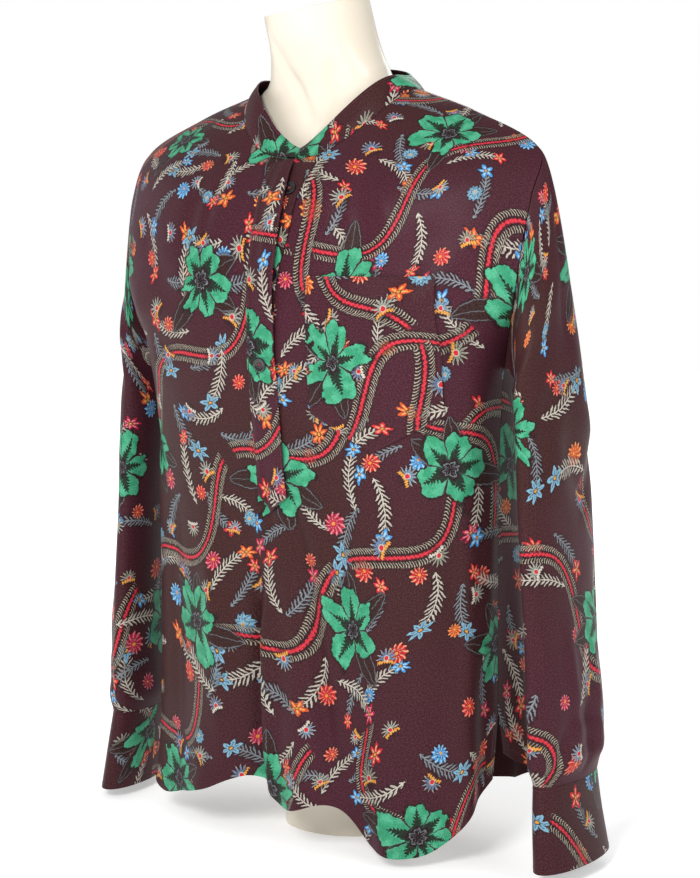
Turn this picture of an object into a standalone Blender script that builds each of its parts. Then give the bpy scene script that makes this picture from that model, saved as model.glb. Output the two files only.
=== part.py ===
"""A long-sleeved tunic blouse with a band collar, hanging on a limbless torso form.

Metres, +Z up. The front faces -Y and the wearer's left is +X. The origin lies on the
form's flat foot. Each cut and sewn piece is its own object: a thin wall that is lofted through
sections, with a seam gap to its neighbours.
"""
import math
from collections import namedtuple

import bmesh
import bpy
import numpy as np
from mathutils import Vector

WALL = 0.0012
SEAM_GAP = 0.0003
LAID_ON = 0.0009
MINIMUM = 1e-9

PANEL_COLUMNS = 40
BACK_COLUMNS = 28
HEM_ROWS = 3
SIDE_ROWS = 6
ARMHOLE_ROWS = 9
SHOULDER_ROWS = 4

SLEEVE_CAP_RINGS = 7
SLEEVE_TUBE_RINGS = 8
CUFF_RINGS = 3
# How far the sleeve head falls before it bends in, as a share of its drop: at the top, and more at the sides.
HEAD_FALL = 0.12
HEAD_SIDE_FALL = 0.20

VENT_TOP = 0.10
UNDERARM = 0.46
SHOULDER_TIP = 0.78
PLAN_POWER = 0.8

# Sections of the body from hem to neckline. "way" runs 0 at the hem to 1 at the neckline. The edge
# is the side seam up to the underarm, the armhole up to the shoulder tip, then the shoulder seam.
# "open" parts the front edge from the back edge, and "turn" is how far round the edge faces.
Section = namedtuple(
    "Section",
    "way half_width edge_y edge_z open turn front_y front_z front_curve back_y back_z back_curve",
)
SECTIONS = (
    Section(0.00, 0.197, 0.004, 0.070, 0.010, 90, -0.096, 0.070, 2.0, 0.120, 0.070, 2.0),
    Section(0.10, 0.196, 0.004, 0.132, 0.000, 90, -0.094, 0.135, 2.0, 0.119, 0.132, 2.0),
    Section(0.25, 0.196, 0.003, 0.250, 0.000, 90, -0.092, 0.250, 2.0, 0.115, 0.240, 2.0),
    Section(0.38, 0.198, 0.001, 0.375, 0.000, 90, -0.098, 0.375, 2.0, 0.109, 0.370, 2.0),
    Section(0.46, 0.203, 0.000, 0.478, 0.000, 90, -0.1105, 0.468, 2.0, 0.106, 0.475, 2.0),
    Section(0.54, 0.230, 0.000, 0.538, 0.032, 62, -0.113, 0.518, 2.0, 0.107, 0.545, 2.0),
    Section(0.62, 0.237, 0.000, 0.590, 0.030, 52, -0.112, 0.558, 2.2, 0.106, 0.600, 2.0),
    Section(0.70, 0.241, 0.001, 0.640, 0.020, 52, -0.106, 0.596, 2.4, 0.101, 0.650, 2.0),
    Section(0.78, 0.237, 0.003, 0.685, 0.000, 62, -0.097, 0.630, 2.5, 0.094, 0.695, 2.0),
    Section(0.89, 0.165, 0.005, 0.721, 0.000, 72, -0.083, 0.656, 2.3, 0.086, 0.725, 2.0),
    Section(1.00, 0.098, 0.008, 0.744, 0.000, 80, -0.063, 0.677, 1.9, 0.074, 0.742, 2.0),
)

# Height of the hem over the width, from the wearer's right side seam (-1) to the left (1).
HemPoint = namedtuple("HemPoint", "across height")
FRONT_HEM = (
    HemPoint(-1.00, 0.080),
    HemPoint(-0.86, 0.040),
    HemPoint(-0.65, 0.024),
    HemPoint(-0.42, 0.034),
    HemPoint(-0.24, 0.046),
    HemPoint(-0.10, 0.065),
    HemPoint(-0.04, 0.061),
    HemPoint(0.02, 0.043),
    HemPoint(0.14, 0.054),
    HemPoint(0.20, 0.049),
    HemPoint(0.30, 0.018),
    HemPoint(0.50, 0.012),
    HemPoint(0.66, 0.024),
    HemPoint(0.84, 0.054),
    HemPoint(1.00, 0.081),
)
BACK_HEM = (
    HemPoint(-1.00, 0.100),
    HemPoint(-0.85, 0.072),
    HemPoint(-0.50, 0.049),
    HemPoint(-0.15, 0.055),
    HemPoint(0.20, 0.047),
    HemPoint(0.55, 0.055),
    HemPoint(0.78, 0.074),
    HemPoint(0.92, 0.088),
    HemPoint(1.00, 0.102),
)

# Soft ridges (depth over 0) and troughs (under 0) that run up from the hem and fade out.
Fold = namedtuple("Fold", "at_hem at_top top width depth")
FRONT_FOLDS = (
    Fold(-0.80, -0.72, 0.50, 0.10, 0.007),
    Fold(-0.50, -0.44, 0.56, 0.12, -0.006),
    Fold(-0.26, -0.20, 0.46, 0.10, 0.006),
    Fold(-0.050, -0.060, 0.38, 0.075, -0.017),
    Fold(0.070, 0.020, 0.40, 0.080, 0.011),
    Fold(0.275, 0.140, 0.50, 0.080, -0.015),
    Fold(0.400, 0.260, 0.46, 0.100, 0.010),
    Fold(0.640, 0.600, 0.38, 0.090, -0.006),
    Fold(0.800, 0.760, 0.38, 0.090, 0.006),
    Fold(0.920, 0.900, 0.40, 0.070, -0.006),
)
BACK_FOLDS = (
    Fold(-0.74, -0.68, 0.52, 0.11, 0.011),
    Fold(-0.52, -0.44, 0.60, 0.08, -0.010),
    Fold(-0.34, -0.28, 0.62, 0.09, 0.009),
    Fold(-0.12, -0.10, 0.66, 0.08, -0.012),
    Fold(0.10, 0.06, 0.60, 0.09, 0.010),
    Fold(0.32, 0.24, 0.70, 0.08, -0.011),
    Fold(0.52, 0.46, 0.56, 0.08, 0.007),
    Fold(0.83, 0.79, 0.50, 0.13, 0.022),
)

# Rings of each sleeve, from the armpit to the cuff seam: half the depth front to back, half the
# thickness, and the yaw in degrees that turns the front edge inwards.
Ring = namedtuple("Ring", "height centre_x centre_y half_depth half_thick yaw")
LEFT_SLEEVE = (
    Ring(0.420, 0.2540, 0.004, 0.0610, 0.0210, 0),
    Ring(0.330, 0.2580, 0.005, 0.0630, 0.0185, 0),
    Ring(0.230, 0.2650, 0.006, 0.0640, 0.0190, 0),
    Ring(0.150, 0.2710, 0.006, 0.0625, 0.0220, 0),
    Ring(0.112, 0.2700, 0.006, 0.0590, 0.0215, 0),
    Ring(0.094, 0.2700, 0.006, 0.0525, 0.0190, 0),
)
LEFT_CUFF = (
    Ring(0.094 - SEAM_GAP, 0.2700, 0.006, 0.0525, 0.0190, 0),
    Ring(0.060, 0.2725, 0.006, 0.0575, 0.0195, 0),
    Ring(0.014, 0.2780, 0.006, 0.0635, 0.0215, 0),
)
RIGHT_SLEEVE = (
    Ring(0.420, -0.2390, 0.004, 0.0580, 0.0205, 12),
    Ring(0.330, -0.2420, 0.004, 0.0590, 0.0185, 12),
    Ring(0.230, -0.2480, 0.004, 0.0605, 0.0190, 12),
    Ring(0.150, -0.2510, 0.004, 0.0615, 0.0220, 12),
    Ring(0.112, -0.2530, 0.004, 0.0600, 0.0220, 12),
    Ring(0.094, -0.2560, 0.004, 0.0530, 0.0190, 12),
)
RIGHT_CUFF = (
    Ring(0.094 - SEAM_GAP, -0.2560, 0.004, 0.0530, 0.0190, 12),
    Ring(0.060, -0.2610, 0.004, 0.0570, 0.0195, 12),
    Ring(0.010, -0.2680, 0.004, 0.0610, 0.0215, 12),
)

# The band collar: its seam follows the neckline, and this is its top edge.
BAND_COLUMNS = 44
BAND_ROWS = 3
BAND_TOP_WIDTH = 0.079
BAND_TOP_SIDE = (0.006, 0.758)
BAND_TOP_FRONT = (-0.049, 0.688)
BAND_TOP_BACK = (0.060, 0.769)
BAND_OVER_END = -3.0
BAND_UNDER_END = -5.0
BAND_TOP_POWER = 1.0
BAND_BELLY = 0.0015
# The over end stands off the under end, more and more between these two turns.
BAND_LAP = 0.0022
BAND_LAP_FROM = 330.0
BAND_LAP_FULL = 346.0

# The half placket on the centre front, lapped right over left.
PLACKET_HALF = 0.017
PLACKET_WALL = 0.0010
PLACKET_TIP = 0.017
PLACKET_ROWS = 18
OVER_COLUMNS = 6
UNDER_COLUMNS = 4
# The over strip lies on the front at its stitched edge and on the under strip past LAP_EDGE. Above
# the lowest button its free half stands up more, to pass over the second button.
LAP_LIFT = 0.0026
LAP_EDGE = -0.0115
OPEN_LIFT = 0.0057
OPEN_FROM = 0.500
OPEN_FULL = 0.556
OPEN_EDGE = -0.011
OPEN_FREE = 0.004

StripEdge = namedtuple("StripEdge", "height left right")
OVER_EDGES = (
    StripEdge(0.352, -0.0170, 0.0170),
    StripEdge(0.560, -0.0170, 0.0170),
    StripEdge(0.640, -0.0170, 0.0170),
    StripEdge(0.672, -0.0200, 0.0100),
)
UNDER_EDGES = (
    StripEdge(0.380, -0.0110, 0.0150),
    StripEdge(0.500, -0.0110, 0.0150),
    StripEdge(0.566, -0.0080, 0.0185),
    StripEdge(0.606, -0.0060, 0.0265),
    StripEdge(0.640, -0.0060, 0.0285),
    StripEdge(0.672, -0.0080, 0.0340),
)

# The patch pocket on the wearer's left chest.
POCKET_LEFT = 0.052
POCKET_RIGHT = 0.176
POCKET_TOP = 0.566
POCKET_SIDE_FOOT = 0.436
POCKET_TIP = 0.400
POCKET_COLUMNS = 12
POCKET_ROWS = 8
POCKET_WALL = 0.0010
# Towards the side the pocket stands off a little more, where the chest turns back.
POCKET_TURN_FROM = 0.125
POCKET_TURN_LIFT = 0.0014

BUTTON_RADIUS = 0.007
BUTTON_THICK = 0.0022
BUTTON_SIDES = 20
Button = namedtuple("Button", "x height lift")
BUTTONS = (
    Button(0.0180, 0.647, LAID_ON + PLACKET_WALL + SEAM_GAP),
    Button(0.0145, 0.566, LAID_ON + PLACKET_WALL + SEAM_GAP),
    Button(0.0010, 0.481, LAP_LIFT + PLACKET_WALL + 2 * SEAM_GAP),
)

# The torso form: half its width, its front and its back at each height. "point" is over 1 where the
# section runs out to narrow shoulders beside the neck, and under 1 where it is full.
FormRing = namedtuple("FormRing", "height half_width front_y back_y point")
FORM = (
    FormRing(0.000, 0.060, -0.030, 0.070, 0.95),
    FormRing(0.040, 0.064, -0.032, 0.072, 0.95),
    FormRing(0.090, 0.104, -0.052, 0.080, 0.95),
    FormRing(0.150, 0.144, -0.066, 0.090, 0.92),
    FormRing(0.220, 0.155, -0.070, 0.091, 0.90),
    FormRing(0.320, 0.138, -0.070, 0.076, 0.90),
    FormRing(0.420, 0.150, -0.083, 0.084, 0.90),
    FormRing(0.500, 0.160, -0.094, 0.090, 0.90),
    FormRing(0.560, 0.168, -0.090, 0.091, 0.92),
    FormRing(0.620, 0.186, -0.071, 0.085, 1.00),
    FormRing(0.660, 0.200, -0.053, 0.078, 1.15),
    FormRing(0.688, 0.200, -0.041, 0.070, 1.35),
    FormRing(0.7046, 0.184, -0.038, 0.064, 1.50),
    FormRing(0.7195, 0.1535, -0.037, 0.059, 1.60),
    FormRing(0.7345, 0.1130, -0.038, 0.056, 1.50),
    FormRing(0.7488, 0.0763, -0.042, 0.053, 1.15),
    FormRing(0.768, 0.0610, -0.052, 0.0525, 1.00),
    FormRing(0.795, 0.0525, -0.065, 0.044, 1.00),
    FormRing(0.8265, 0.0505, -0.074, 0.028, 1.00),
)
FORM_COLUMNS = 36
FORM_STEP = 0.022
# The slant of the neck's cut, and the height from which the rings tip towards it.
CAP_SLOPE_ACROSS = 0.12
CAP_SLOPE_ALONG = 0.21
CAP_FROM = 0.770

Look = namedtuple("Look", "red green blue roughness")
CLOTH_LOOK = Look(0.075, 0.022, 0.035, 0.45)
BUTTON_LOOK = Look(0.010, 0.009, 0.010, 0.25)
FORM_LOOK = Look(0.86, 0.80, 0.66, 0.30)


def smooth_row(table, key, value):
    """Reads every column of a table at a value of its first column, with a smooth curve between rows."""
    keys = [getattr(row, key) for row in table]
    value = min(max(value, min(keys)), max(keys))
    if keys[0] > keys[-1]:
        table = table[::-1]
        keys = keys[::-1]
    last = len(keys) - 2
    at = min(max(int(np.searchsorted(keys, value, side="right")) - 1, 0), last)
    rows = np.array(table, float)
    span = keys[at + 1] - keys[at]
    part = (value - keys[at]) / span
    before = max(at - 1, 0)
    after = min(at + 2, len(keys) - 1)
    slope_in = (rows[at + 1] - rows[before]) / (keys[at + 1] - keys[before]) * span
    slope_out = (rows[after] - rows[at]) / (keys[after] - keys[at]) * span
    squared = part * part
    cubed = squared * part
    mixed = (
        (2 * cubed - 3 * squared + 1) * rows[at]
        + (cubed - 2 * squared + part) * slope_in
        + (3 * squared - 2 * cubed) * rows[at + 1]
        + (cubed - squared) * slope_out
    )
    return type(table[0])(*mixed)


def ease(low, high, value):
    """0 below low, 1 above high, and a soft step between."""
    part = min(max((value - low) / (high - low), 0.0), 1.0)
    return part * part * (3 - 2 * part)


def unit(vector):
    return vector / max(np.linalg.norm(vector), MINIMUM)


def bare_point(across, way, back=False):
    """A point of the body before its folds. across is -1 at the right edge and 1 at the left."""
    row = smooth_row(SECTIONS, "way", way)
    side = -1.0 if across < 0 else 1.0
    opened = max(row.open, 0.0)
    if back:
        centre_y, centre_z, curve = row.back_y, row.back_z, row.back_curve
        edge_y = row.edge_y + opened + SEAM_GAP / 2
    else:
        centre_y, centre_z, curve = row.front_y, row.front_z, row.front_curve
        edge_y = row.edge_y - opened - SEAM_GAP / 2
    edge_turn = math.radians(row.turn)
    turn = abs(across) * edge_turn
    x = row.half_width * (math.sin(turn) / math.sin(edge_turn)) ** PLAN_POWER
    falloff = max(math.cos(turn), 0.0) ** PLAN_POWER
    edge_falloff = max(math.cos(edge_turn), 0.0) ** PLAN_POWER
    y = edge_y + (centre_y - edge_y) * (falloff - edge_falloff) / (1 - edge_falloff)
    rise = (math.sin(turn) / math.sin(edge_turn)) ** curve
    z = centre_z + (row.edge_z - centre_z) * rise
    # The hem's own curve moves the rows near it up or down, less and less towards the underarm.
    hem = smooth_row(BACK_HEM if back else FRONT_HEM, "across", across).height
    z += (hem - SECTIONS[0].edge_z) * (1 - ease(0.0, UNDERARM, way))
    return np.array([side * x, y, z])


def fold_depth(across, way, back=False):
    total = 0.0
    for fold in BACK_FOLDS if back else FRONT_FOLDS:
        if way >= fold.top:
            continue
        part = way / fold.top
        middle = fold.at_hem + (fold.at_top - fold.at_hem) * part
        offset = (across - middle) / fold.width
        total += fold.depth * (1 - part) ** 1.2 * math.exp(-offset * offset)
    return total


def body_normal(across, way, back=False):
    """The outward direction of the body before its folds."""
    step = 0.004
    left = bare_point(min(across + step, 1), way, back)
    right = bare_point(max(across - step, -1), way, back)
    above = bare_point(across, min(way + step, 1), back)
    below = bare_point(across, max(way - step, 0), back)
    normal = unit(np.cross(left - right, above - below))
    return -normal if back else normal


def body_point(across, way, back=False, out=0.0):
    """A point of the body's outer face, or one that lies further out on its normal."""
    edge = 1 - abs(across) ** 12
    depth = fold_depth(across, way, back) * edge + out
    return bare_point(across, way, back) + body_normal(across, way, back) * depth


def grid_normals(points, closed=False):
    """Unit normals of a grid of points, its first index up and its second across."""
    up = np.gradient(points, axis=0)
    if closed:
        across = np.roll(points, -1, axis=1) - np.roll(points, 1, axis=1)
    else:
        across = np.gradient(points, axis=1)
    normals = np.cross(across, up)
    length = np.linalg.norm(normals, axis=2, keepdims=True)
    return normals / np.maximum(length, MINIMUM)


def body_ways():
    """The row values: hem to vent, side seam, armhole, shoulder seam."""
    stages = (
        (0.0, VENT_TOP, HEM_ROWS),
        (VENT_TOP, UNDERARM, SIDE_ROWS),
        (UNDERARM, SHOULDER_TIP, ARMHOLE_ROWS),
        (SHOULDER_TIP, 1.0, SHOULDER_ROWS),
    )
    ways = [0.0]
    for low, high, count in stages:
        ways += [low + (high - low) * (i + 1) / count for i in range(count)]
    return ways


UNDERARM_ROW = HEM_ROWS + SIDE_ROWS
TIP_ROW = UNDERARM_ROW + ARMHOLE_ROWS


def panel_grid(columns, back):
    across = np.linspace(-1, 1, columns + 1)
    rows = []
    for way in body_ways():
        rows.append([body_point(value, way, back) for value in across])
    return np.array(rows)


def body_grids():
    """Outer points and wall directions of the front and back, which agree where they are sewn."""
    front = panel_grid(PANEL_COLUMNS, False)
    back = panel_grid(BACK_COLUMNS, True)
    front_normals = grid_normals(front)
    back_normals = -grid_normals(back)
    for row in range(len(front)):
        if UNDERARM_ROW < row < TIP_ROW:
            continue
        for column in (0, -1):
            shared = front_normals[row, column] + back_normals[row, column]
            shared[1] = 0.0
            shared = unit(shared)
            front_normals[row, column] = shared
            back_normals[row, column] = shared
    return front, front_normals, back, back_normals


def collection_of(name):
    found = bpy.data.collections.get(name)
    if found is None:
        found = bpy.data.collections.new(name)
        bpy.context.scene.collection.children.link(found)
    return found


def material_of(name, look):
    found = bpy.data.materials.get(name)
    if found is None:
        found = bpy.data.materials.new(name)
        found.use_nodes = True
        shader = found.node_tree.nodes["Principled BSDF"]
        shader.inputs["Base Color"].default_value = (look.red, look.green, look.blue, 1)
        shader.inputs["Roughness"].default_value = look.roughness
        shader.inputs["Metallic"].default_value = 0.0
    return found


def add_object(name, vertices, faces, look):
    mesh = bpy.data.meshes.new(name)
    mesh.from_pydata([tuple(point) for point in vertices], [], faces)
    mesh.materials.append(material_of(name + "_finish", look))
    bm = bmesh.new()
    bm.from_mesh(mesh)
    bmesh.ops.recalc_face_normals(bm, faces=bm.faces)
    if bm.calc_volume(signed=True) < 0:
        bmesh.ops.reverse_faces(bm, faces=bm.faces)
    bm.to_mesh(mesh)
    bm.free()
    mesh.shade_smooth()
    mesh.set_sharp_from_angle(angle=math.radians(50))
    made = bpy.data.objects.new(name, mesh)
    collection_of("tunic_blouse").objects.link(made)
    return made


def wall_from_grid(name, outer, normals, wall, look, closed=False):
    """A closed thin wall: the outer grid, the same grid moved in, and rims between them."""
    rows, columns = outer.shape[:2]
    inner = outer - normals * wall
    vertices = np.concatenate([outer.reshape(-1, 3), inner.reshape(-1, 3)])
    layer = rows * columns
    around = columns if closed else columns - 1
    faces = []
    for row in range(rows - 1):
        for column in range(around):
            beside = (column + 1) % columns
            a = row * columns + column
            b = row * columns + beside
            c = (row + 1) * columns + beside
            d = (row + 1) * columns + column
            faces.append((a, b, c, d))
            faces.append((layer + d, layer + c, layer + b, layer + a))
    for row in (0, rows - 1):
        for column in range(around):
            a = row * columns + column
            b = row * columns + (column + 1) % columns
            faces.append((a, b, layer + b, layer + a) if row else (b, a, layer + a, layer + b))
    if not closed:
        for column in (0, columns - 1):
            for row in range(rows - 1):
                a = row * columns + column
                b = (row + 1) * columns + column
                faces.append((b, a, layer + a, layer + b) if column else (a, b, layer + b, layer + a))
    return add_object(name, vertices, faces, look)


def ring_points(ring, count, side):
    """A flattened ring of a sleeve. It starts at the outer side and goes round by the front."""
    yaw = math.radians(ring.yaw) * side
    points = []
    for step in range(count):
        angle = 2 * math.pi * step / count
        out = side * ring.half_thick * math.cos(angle)
        fore = -ring.half_depth * math.sin(angle)
        x = ring.centre_x + out * math.cos(yaw) + fore * math.sin(yaw)
        y = ring.centre_y + fore * math.cos(yaw) - out * math.sin(yaw)
        points.append((x, y, ring.height))
    return np.array(points)


def armhole_loop(grids, side):
    """Points and wall directions round the armhole: shoulder tip, front edge, underarm, back edge."""
    front, front_normals, back, back_normals = grids
    column = 0 if side < 0 else -1
    loop = [(front[TIP_ROW, column] + back[TIP_ROW, column]) / 2]
    facing = [front_normals[TIP_ROW, column]]
    for row in range(TIP_ROW - 1, UNDERARM_ROW, -1):
        loop.append(front[row, column])
        facing.append(front_normals[row, column])
    loop.append((front[UNDERARM_ROW, column] + back[UNDERARM_ROW, column]) / 2)
    facing.append(front_normals[UNDERARM_ROW, column])
    for row in range(UNDERARM_ROW + 1, TIP_ROW):
        loop.append(back[row, column])
        facing.append(back_normals[row, column])
    return np.array(loop), np.array(facing)


def sleeve_grid(grids, side, table):
    """Rings from the armhole to the cuff seam, with the wall directions."""
    loop, facing = armhole_loop(grids, side)
    count = len(loop)
    along = np.roll(loop, -1, axis=0) - np.roll(loop, 1, axis=0)
    away = [unit(np.cross(facing[index], along[index])) * side for index in range(count)]
    top_ring = ring_points(table[0], count, side)
    rings = []
    for step in range(SLEEVE_CAP_RINGS + 1):
        part = step / SLEEVE_CAP_RINGS
        ring = []
        for index in range(count):
            start = loop[index]
            end = top_ring[index]
            sideways = abs(math.sin(2 * math.pi * index / count))
            drop = (start[2] - end[2]) * (HEAD_FALL + HEAD_SIDE_FALL * sideways)
            bend = np.array([(start[0] + end[0]) / 2, (start[1] + end[1]) / 2, start[2] - drop])
            start = start + away[index] * (2.5 * SEAM_GAP)
            point = (1 - part) ** 2 * start + 2 * part * (1 - part) * bend + part**2 * end
            ring.append(point)
        rings.append(ring)
    low = table[-1].height
    high = table[0].height
    for step in range(1, SLEEVE_TUBE_RINGS + 1):
        height = high + (low - high) * step / SLEEVE_TUBE_RINGS
        rings.append(ring_points(smooth_row(table, "height", height), count, side))
    grid = np.array(rings)
    normals = grid_normals(grid, closed=True) * side
    for index in range(count):
        if np.dot(normals[0, index], facing[index]) > 0.1:
            normals[0, index] = facing[index]
    return grid, normals


def cuff_grid(side, table, count):
    high = table[0].height
    low = table[-1].height
    rings = []
    for step in range(CUFF_RINGS + 1):
        height = high + (low - high) * step / CUFF_RINGS
        rings.append(ring_points(smooth_row(table, "height", height), count, side))
    grid = np.array(rings)
    return grid, grid_normals(grid, closed=True) * side


def make_body():
    grids = body_grids()
    front, front_normals, back, back_normals = grids
    wall_from_grid("front", front, front_normals, WALL, CLOTH_LOOK)
    wall_from_grid("back", back, back_normals, WALL, CLOTH_LOOK)
    return grids


def make_sleeves(grids):
    for name, side, sleeve, cuff in (
        ("left", 1, LEFT_SLEEVE, LEFT_CUFF),
        ("right", -1, RIGHT_SLEEVE, RIGHT_CUFF),
    ):
        grid, normals = sleeve_grid(grids, side, sleeve)
        wall_from_grid("sleeve_" + name, grid, normals, WALL, CLOTH_LOOK, closed=True)
        rings, facing = cuff_grid(side, cuff, grid.shape[1])
        wall_from_grid("cuff_" + name, rings, facing, WALL, CLOTH_LOOK, closed=True)


def neck_seam(turn, lap):
    """A point of the collar band's seam on the neckline, and the way the body faces there."""
    back = not lap and 90 < turn < 270
    if back:
        across = (180 - turn) / 90
    else:
        across = turn / 90 if turn <= 90 else (turn - 360) / 90
    return body_point(across, 1.0, back), body_normal(across, 1.0, back)


def band_top(turn, lap):
    """A point of the band's top edge. lap is 1 or -1 for the half whose end goes on past the centre."""
    angle = math.radians(turn)
    sine = math.sin(angle)
    side_y, side_z = BAND_TOP_SIDE
    if math.cos(angle) >= 0:
        front_y, front_z = BAND_TOP_FRONT
        rise = abs(sine) ** BAND_TOP_POWER * (-1 if sine * lap < 0 else 1)
        z = front_z + (side_z - front_z) * rise
        y = side_y + (front_y - side_y) * math.cos(angle) ** PLAN_POWER
    else:
        back_y, back_z = BAND_TOP_BACK
        z = back_z + (side_z - back_z) * sine * sine
        y = side_y + (back_y - side_y) * abs(math.cos(angle)) ** PLAN_POWER
    x = BAND_TOP_WIDTH * math.copysign(abs(sine) ** PLAN_POWER, sine)
    return np.array([x, y, z])


def band_grid():
    """The open ring of the collar, from its under end past the front, round the back, to its over end."""
    start = BAND_UNDER_END
    end = 360.0 - BAND_OVER_END
    columns = []
    for step in range(BAND_COLUMNS + 1):
        turn = start + (end - start) * step / BAND_COLUMNS
        lap = 1 if turn < 90 else (-1 if turn > 270 else 0)
        seam, facing = neck_seam(turn, lap)
        top = band_top(turn, lap)
        lift = BAND_LAP * ease(BAND_LAP_FROM, BAND_LAP_FULL, turn)
        outward = unit(np.array([seam[0], seam[1], 0.0]))
        seam = seam + unit(top - seam) * (2 * SEAM_GAP) + facing * lift
        top = top + outward * lift
        column = []
        for row in range(BAND_ROWS + 1):
            part = row / BAND_ROWS
            belly = BAND_BELLY * math.sin(math.pi * part)
            column.append(seam + (top - seam) * part + outward * belly)
        columns.append(column)
    return np.array(columns).transpose(1, 0, 2)


def make_collar():
    grid = band_grid()
    wall_from_grid("collar_band", grid, grid_normals(grid), WALL, CLOTH_LOOK)


def find_on_front(x, height):
    """The (across, way) of the front panel's point at this x and height."""
    across = x / 0.25
    way = 0.5
    for _ in range(30):
        here = body_point(across, way)
        step = 0.002
        by_across = (body_point(across + step, way) - here) / step
        by_way = (body_point(across, way + step) - here) / step
        matrix = np.array([[by_across[0], by_way[0]], [by_across[2], by_way[2]]])
        miss = np.array([x - here[0], height - here[2]])
        change = np.linalg.solve(matrix, miss)
        across = min(max(across + float(np.clip(change[0], -0.1, 0.1)), -0.99), 0.99)
        way = min(max(way + float(np.clip(change[1], -0.1, 0.1)), 0.01), 0.995)
        if np.abs(miss).max() < 1e-7:
            break
    return across, way


def on_front(x, height, out):
    across, way = find_on_front(x, height)
    normal = body_normal(across, way)
    return body_point(across, way, out=out), normal


def over_lift(x, height):
    """How far the lapped placket stands off the front: flat at its seam, up over what is under it."""
    lapped = ease(-PLACKET_HALF, LAP_EDGE, x)
    opened = ease(OPEN_FROM, OPEN_FULL, height) * ease(OPEN_EDGE, OPEN_FREE, x)
    lift = LAID_ON + (LAP_LIFT - LAID_ON) * lapped
    return lift + (OPEN_LIFT - LAP_LIFT) * opened


def make_strip(name, edges, columns, rows, lift_at, tip):
    low = edges[0].height
    high = edges[-1].height
    outer = []
    facing = []
    for row in range(rows + 1):
        height = low + (high - low) * row / rows
        edge = smooth_row(edges, "height", height)
        line = []
        normals = []
        for column in range(columns + 1):
            part = column / columns
            x = edge.left + (edge.right - edge.left) * part
            dip = tip * (1 - abs(2 * part - 1)) if row == 0 else 0.0
            lift = lift_at(x, height) + PLACKET_WALL
            point, normal = on_front(x, height - dip, lift)
            line.append(point)
            normals.append(normal)
        outer.append(line)
        facing.append(normals)
    return wall_from_grid(name, np.array(outer), np.array(facing), PLACKET_WALL, CLOTH_LOOK)


def under_lift(x, height):
    return LAID_ON


def make_plackets():
    make_strip("placket_over", OVER_EDGES, OVER_COLUMNS, PLACKET_ROWS, over_lift, PLACKET_TIP)
    make_strip("placket_under", UNDER_EDGES, UNDER_COLUMNS, PLACKET_ROWS, under_lift, 0.0)


def make_pocket():
    outer = []
    facing = []
    for row in range(POCKET_ROWS + 1):
        line = []
        normals = []
        for column in range(POCKET_COLUMNS + 1):
            part = column / POCKET_COLUMNS
            x = POCKET_LEFT + (POCKET_RIGHT - POCKET_LEFT) * part
            pointed = 1 - abs(2 * part - 1)
            foot = POCKET_SIDE_FOOT + (POCKET_TIP - POCKET_SIDE_FOOT) * pointed
            height = foot + (POCKET_TOP - foot) * row / POCKET_ROWS
            lift = LAID_ON + POCKET_TURN_LIFT * ease(POCKET_TURN_FROM, POCKET_RIGHT, x)
            point, normal = on_front(x, height, lift + POCKET_WALL)
            line.append(point)
            normals.append(normal)
        outer.append(line)
        facing.append(normals)
    wall_from_grid("pocket", np.array(outer), np.array(facing), POCKET_WALL, CLOTH_LOOK)


def make_buttons():
    """Turned discs with a raised rim and a shallow dish."""
    profile = (
        (0.0, BUTTON_THICK * 0.72),
        (BUTTON_RADIUS * 0.66, BUTTON_THICK * 0.80),
        (BUTTON_RADIUS * 0.88, BUTTON_THICK),
        (BUTTON_RADIUS, BUTTON_THICK * 0.75),
        (BUTTON_RADIUS, BUTTON_THICK * 0.35),
        (BUTTON_RADIUS * 0.86, 0.0),
        (0.0, 0.0),
    )
    for number, button in enumerate(BUTTONS, 1):
        name = f"button_{number}"
        seat, normal = on_front(button.x, button.height, button.lift)
        mesh = bpy.data.meshes.new(name)
        points = [(radius, 0.0, rise) for radius, rise in profile]
        mesh.from_pydata(points, [(step, step + 1) for step in range(len(points) - 1)], [])
        mesh.materials.append(material_of(name + "_finish", BUTTON_LOOK))
        made = bpy.data.objects.new(name, mesh)
        made.location = seat
        made.rotation_euler = Vector(normal).to_track_quat("Z", "Y").to_euler()
        collection_of("tunic_blouse").objects.link(made)
        turned = made.modifiers.new("turned", "SCREW")
        turned.axis = "Z"
        turned.steps = BUTTON_SIDES
        turned.render_steps = BUTTON_SIDES
        turned.use_merge_vertices = True
        turned.merge_threshold = 0.0001
        turned.use_smooth_shade = False


def form_heights():
    """The rows of the form: every ring of its table, with even steps in the long gaps."""
    heights = [FORM[0].height]
    for low, high in zip(FORM, FORM[1:]):
        gap = high.height - low.height
        count = max(round(gap / FORM_STEP), 1)
        heights += [low.height + gap * (step + 1) / count for step in range(count)]
    return heights


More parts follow.
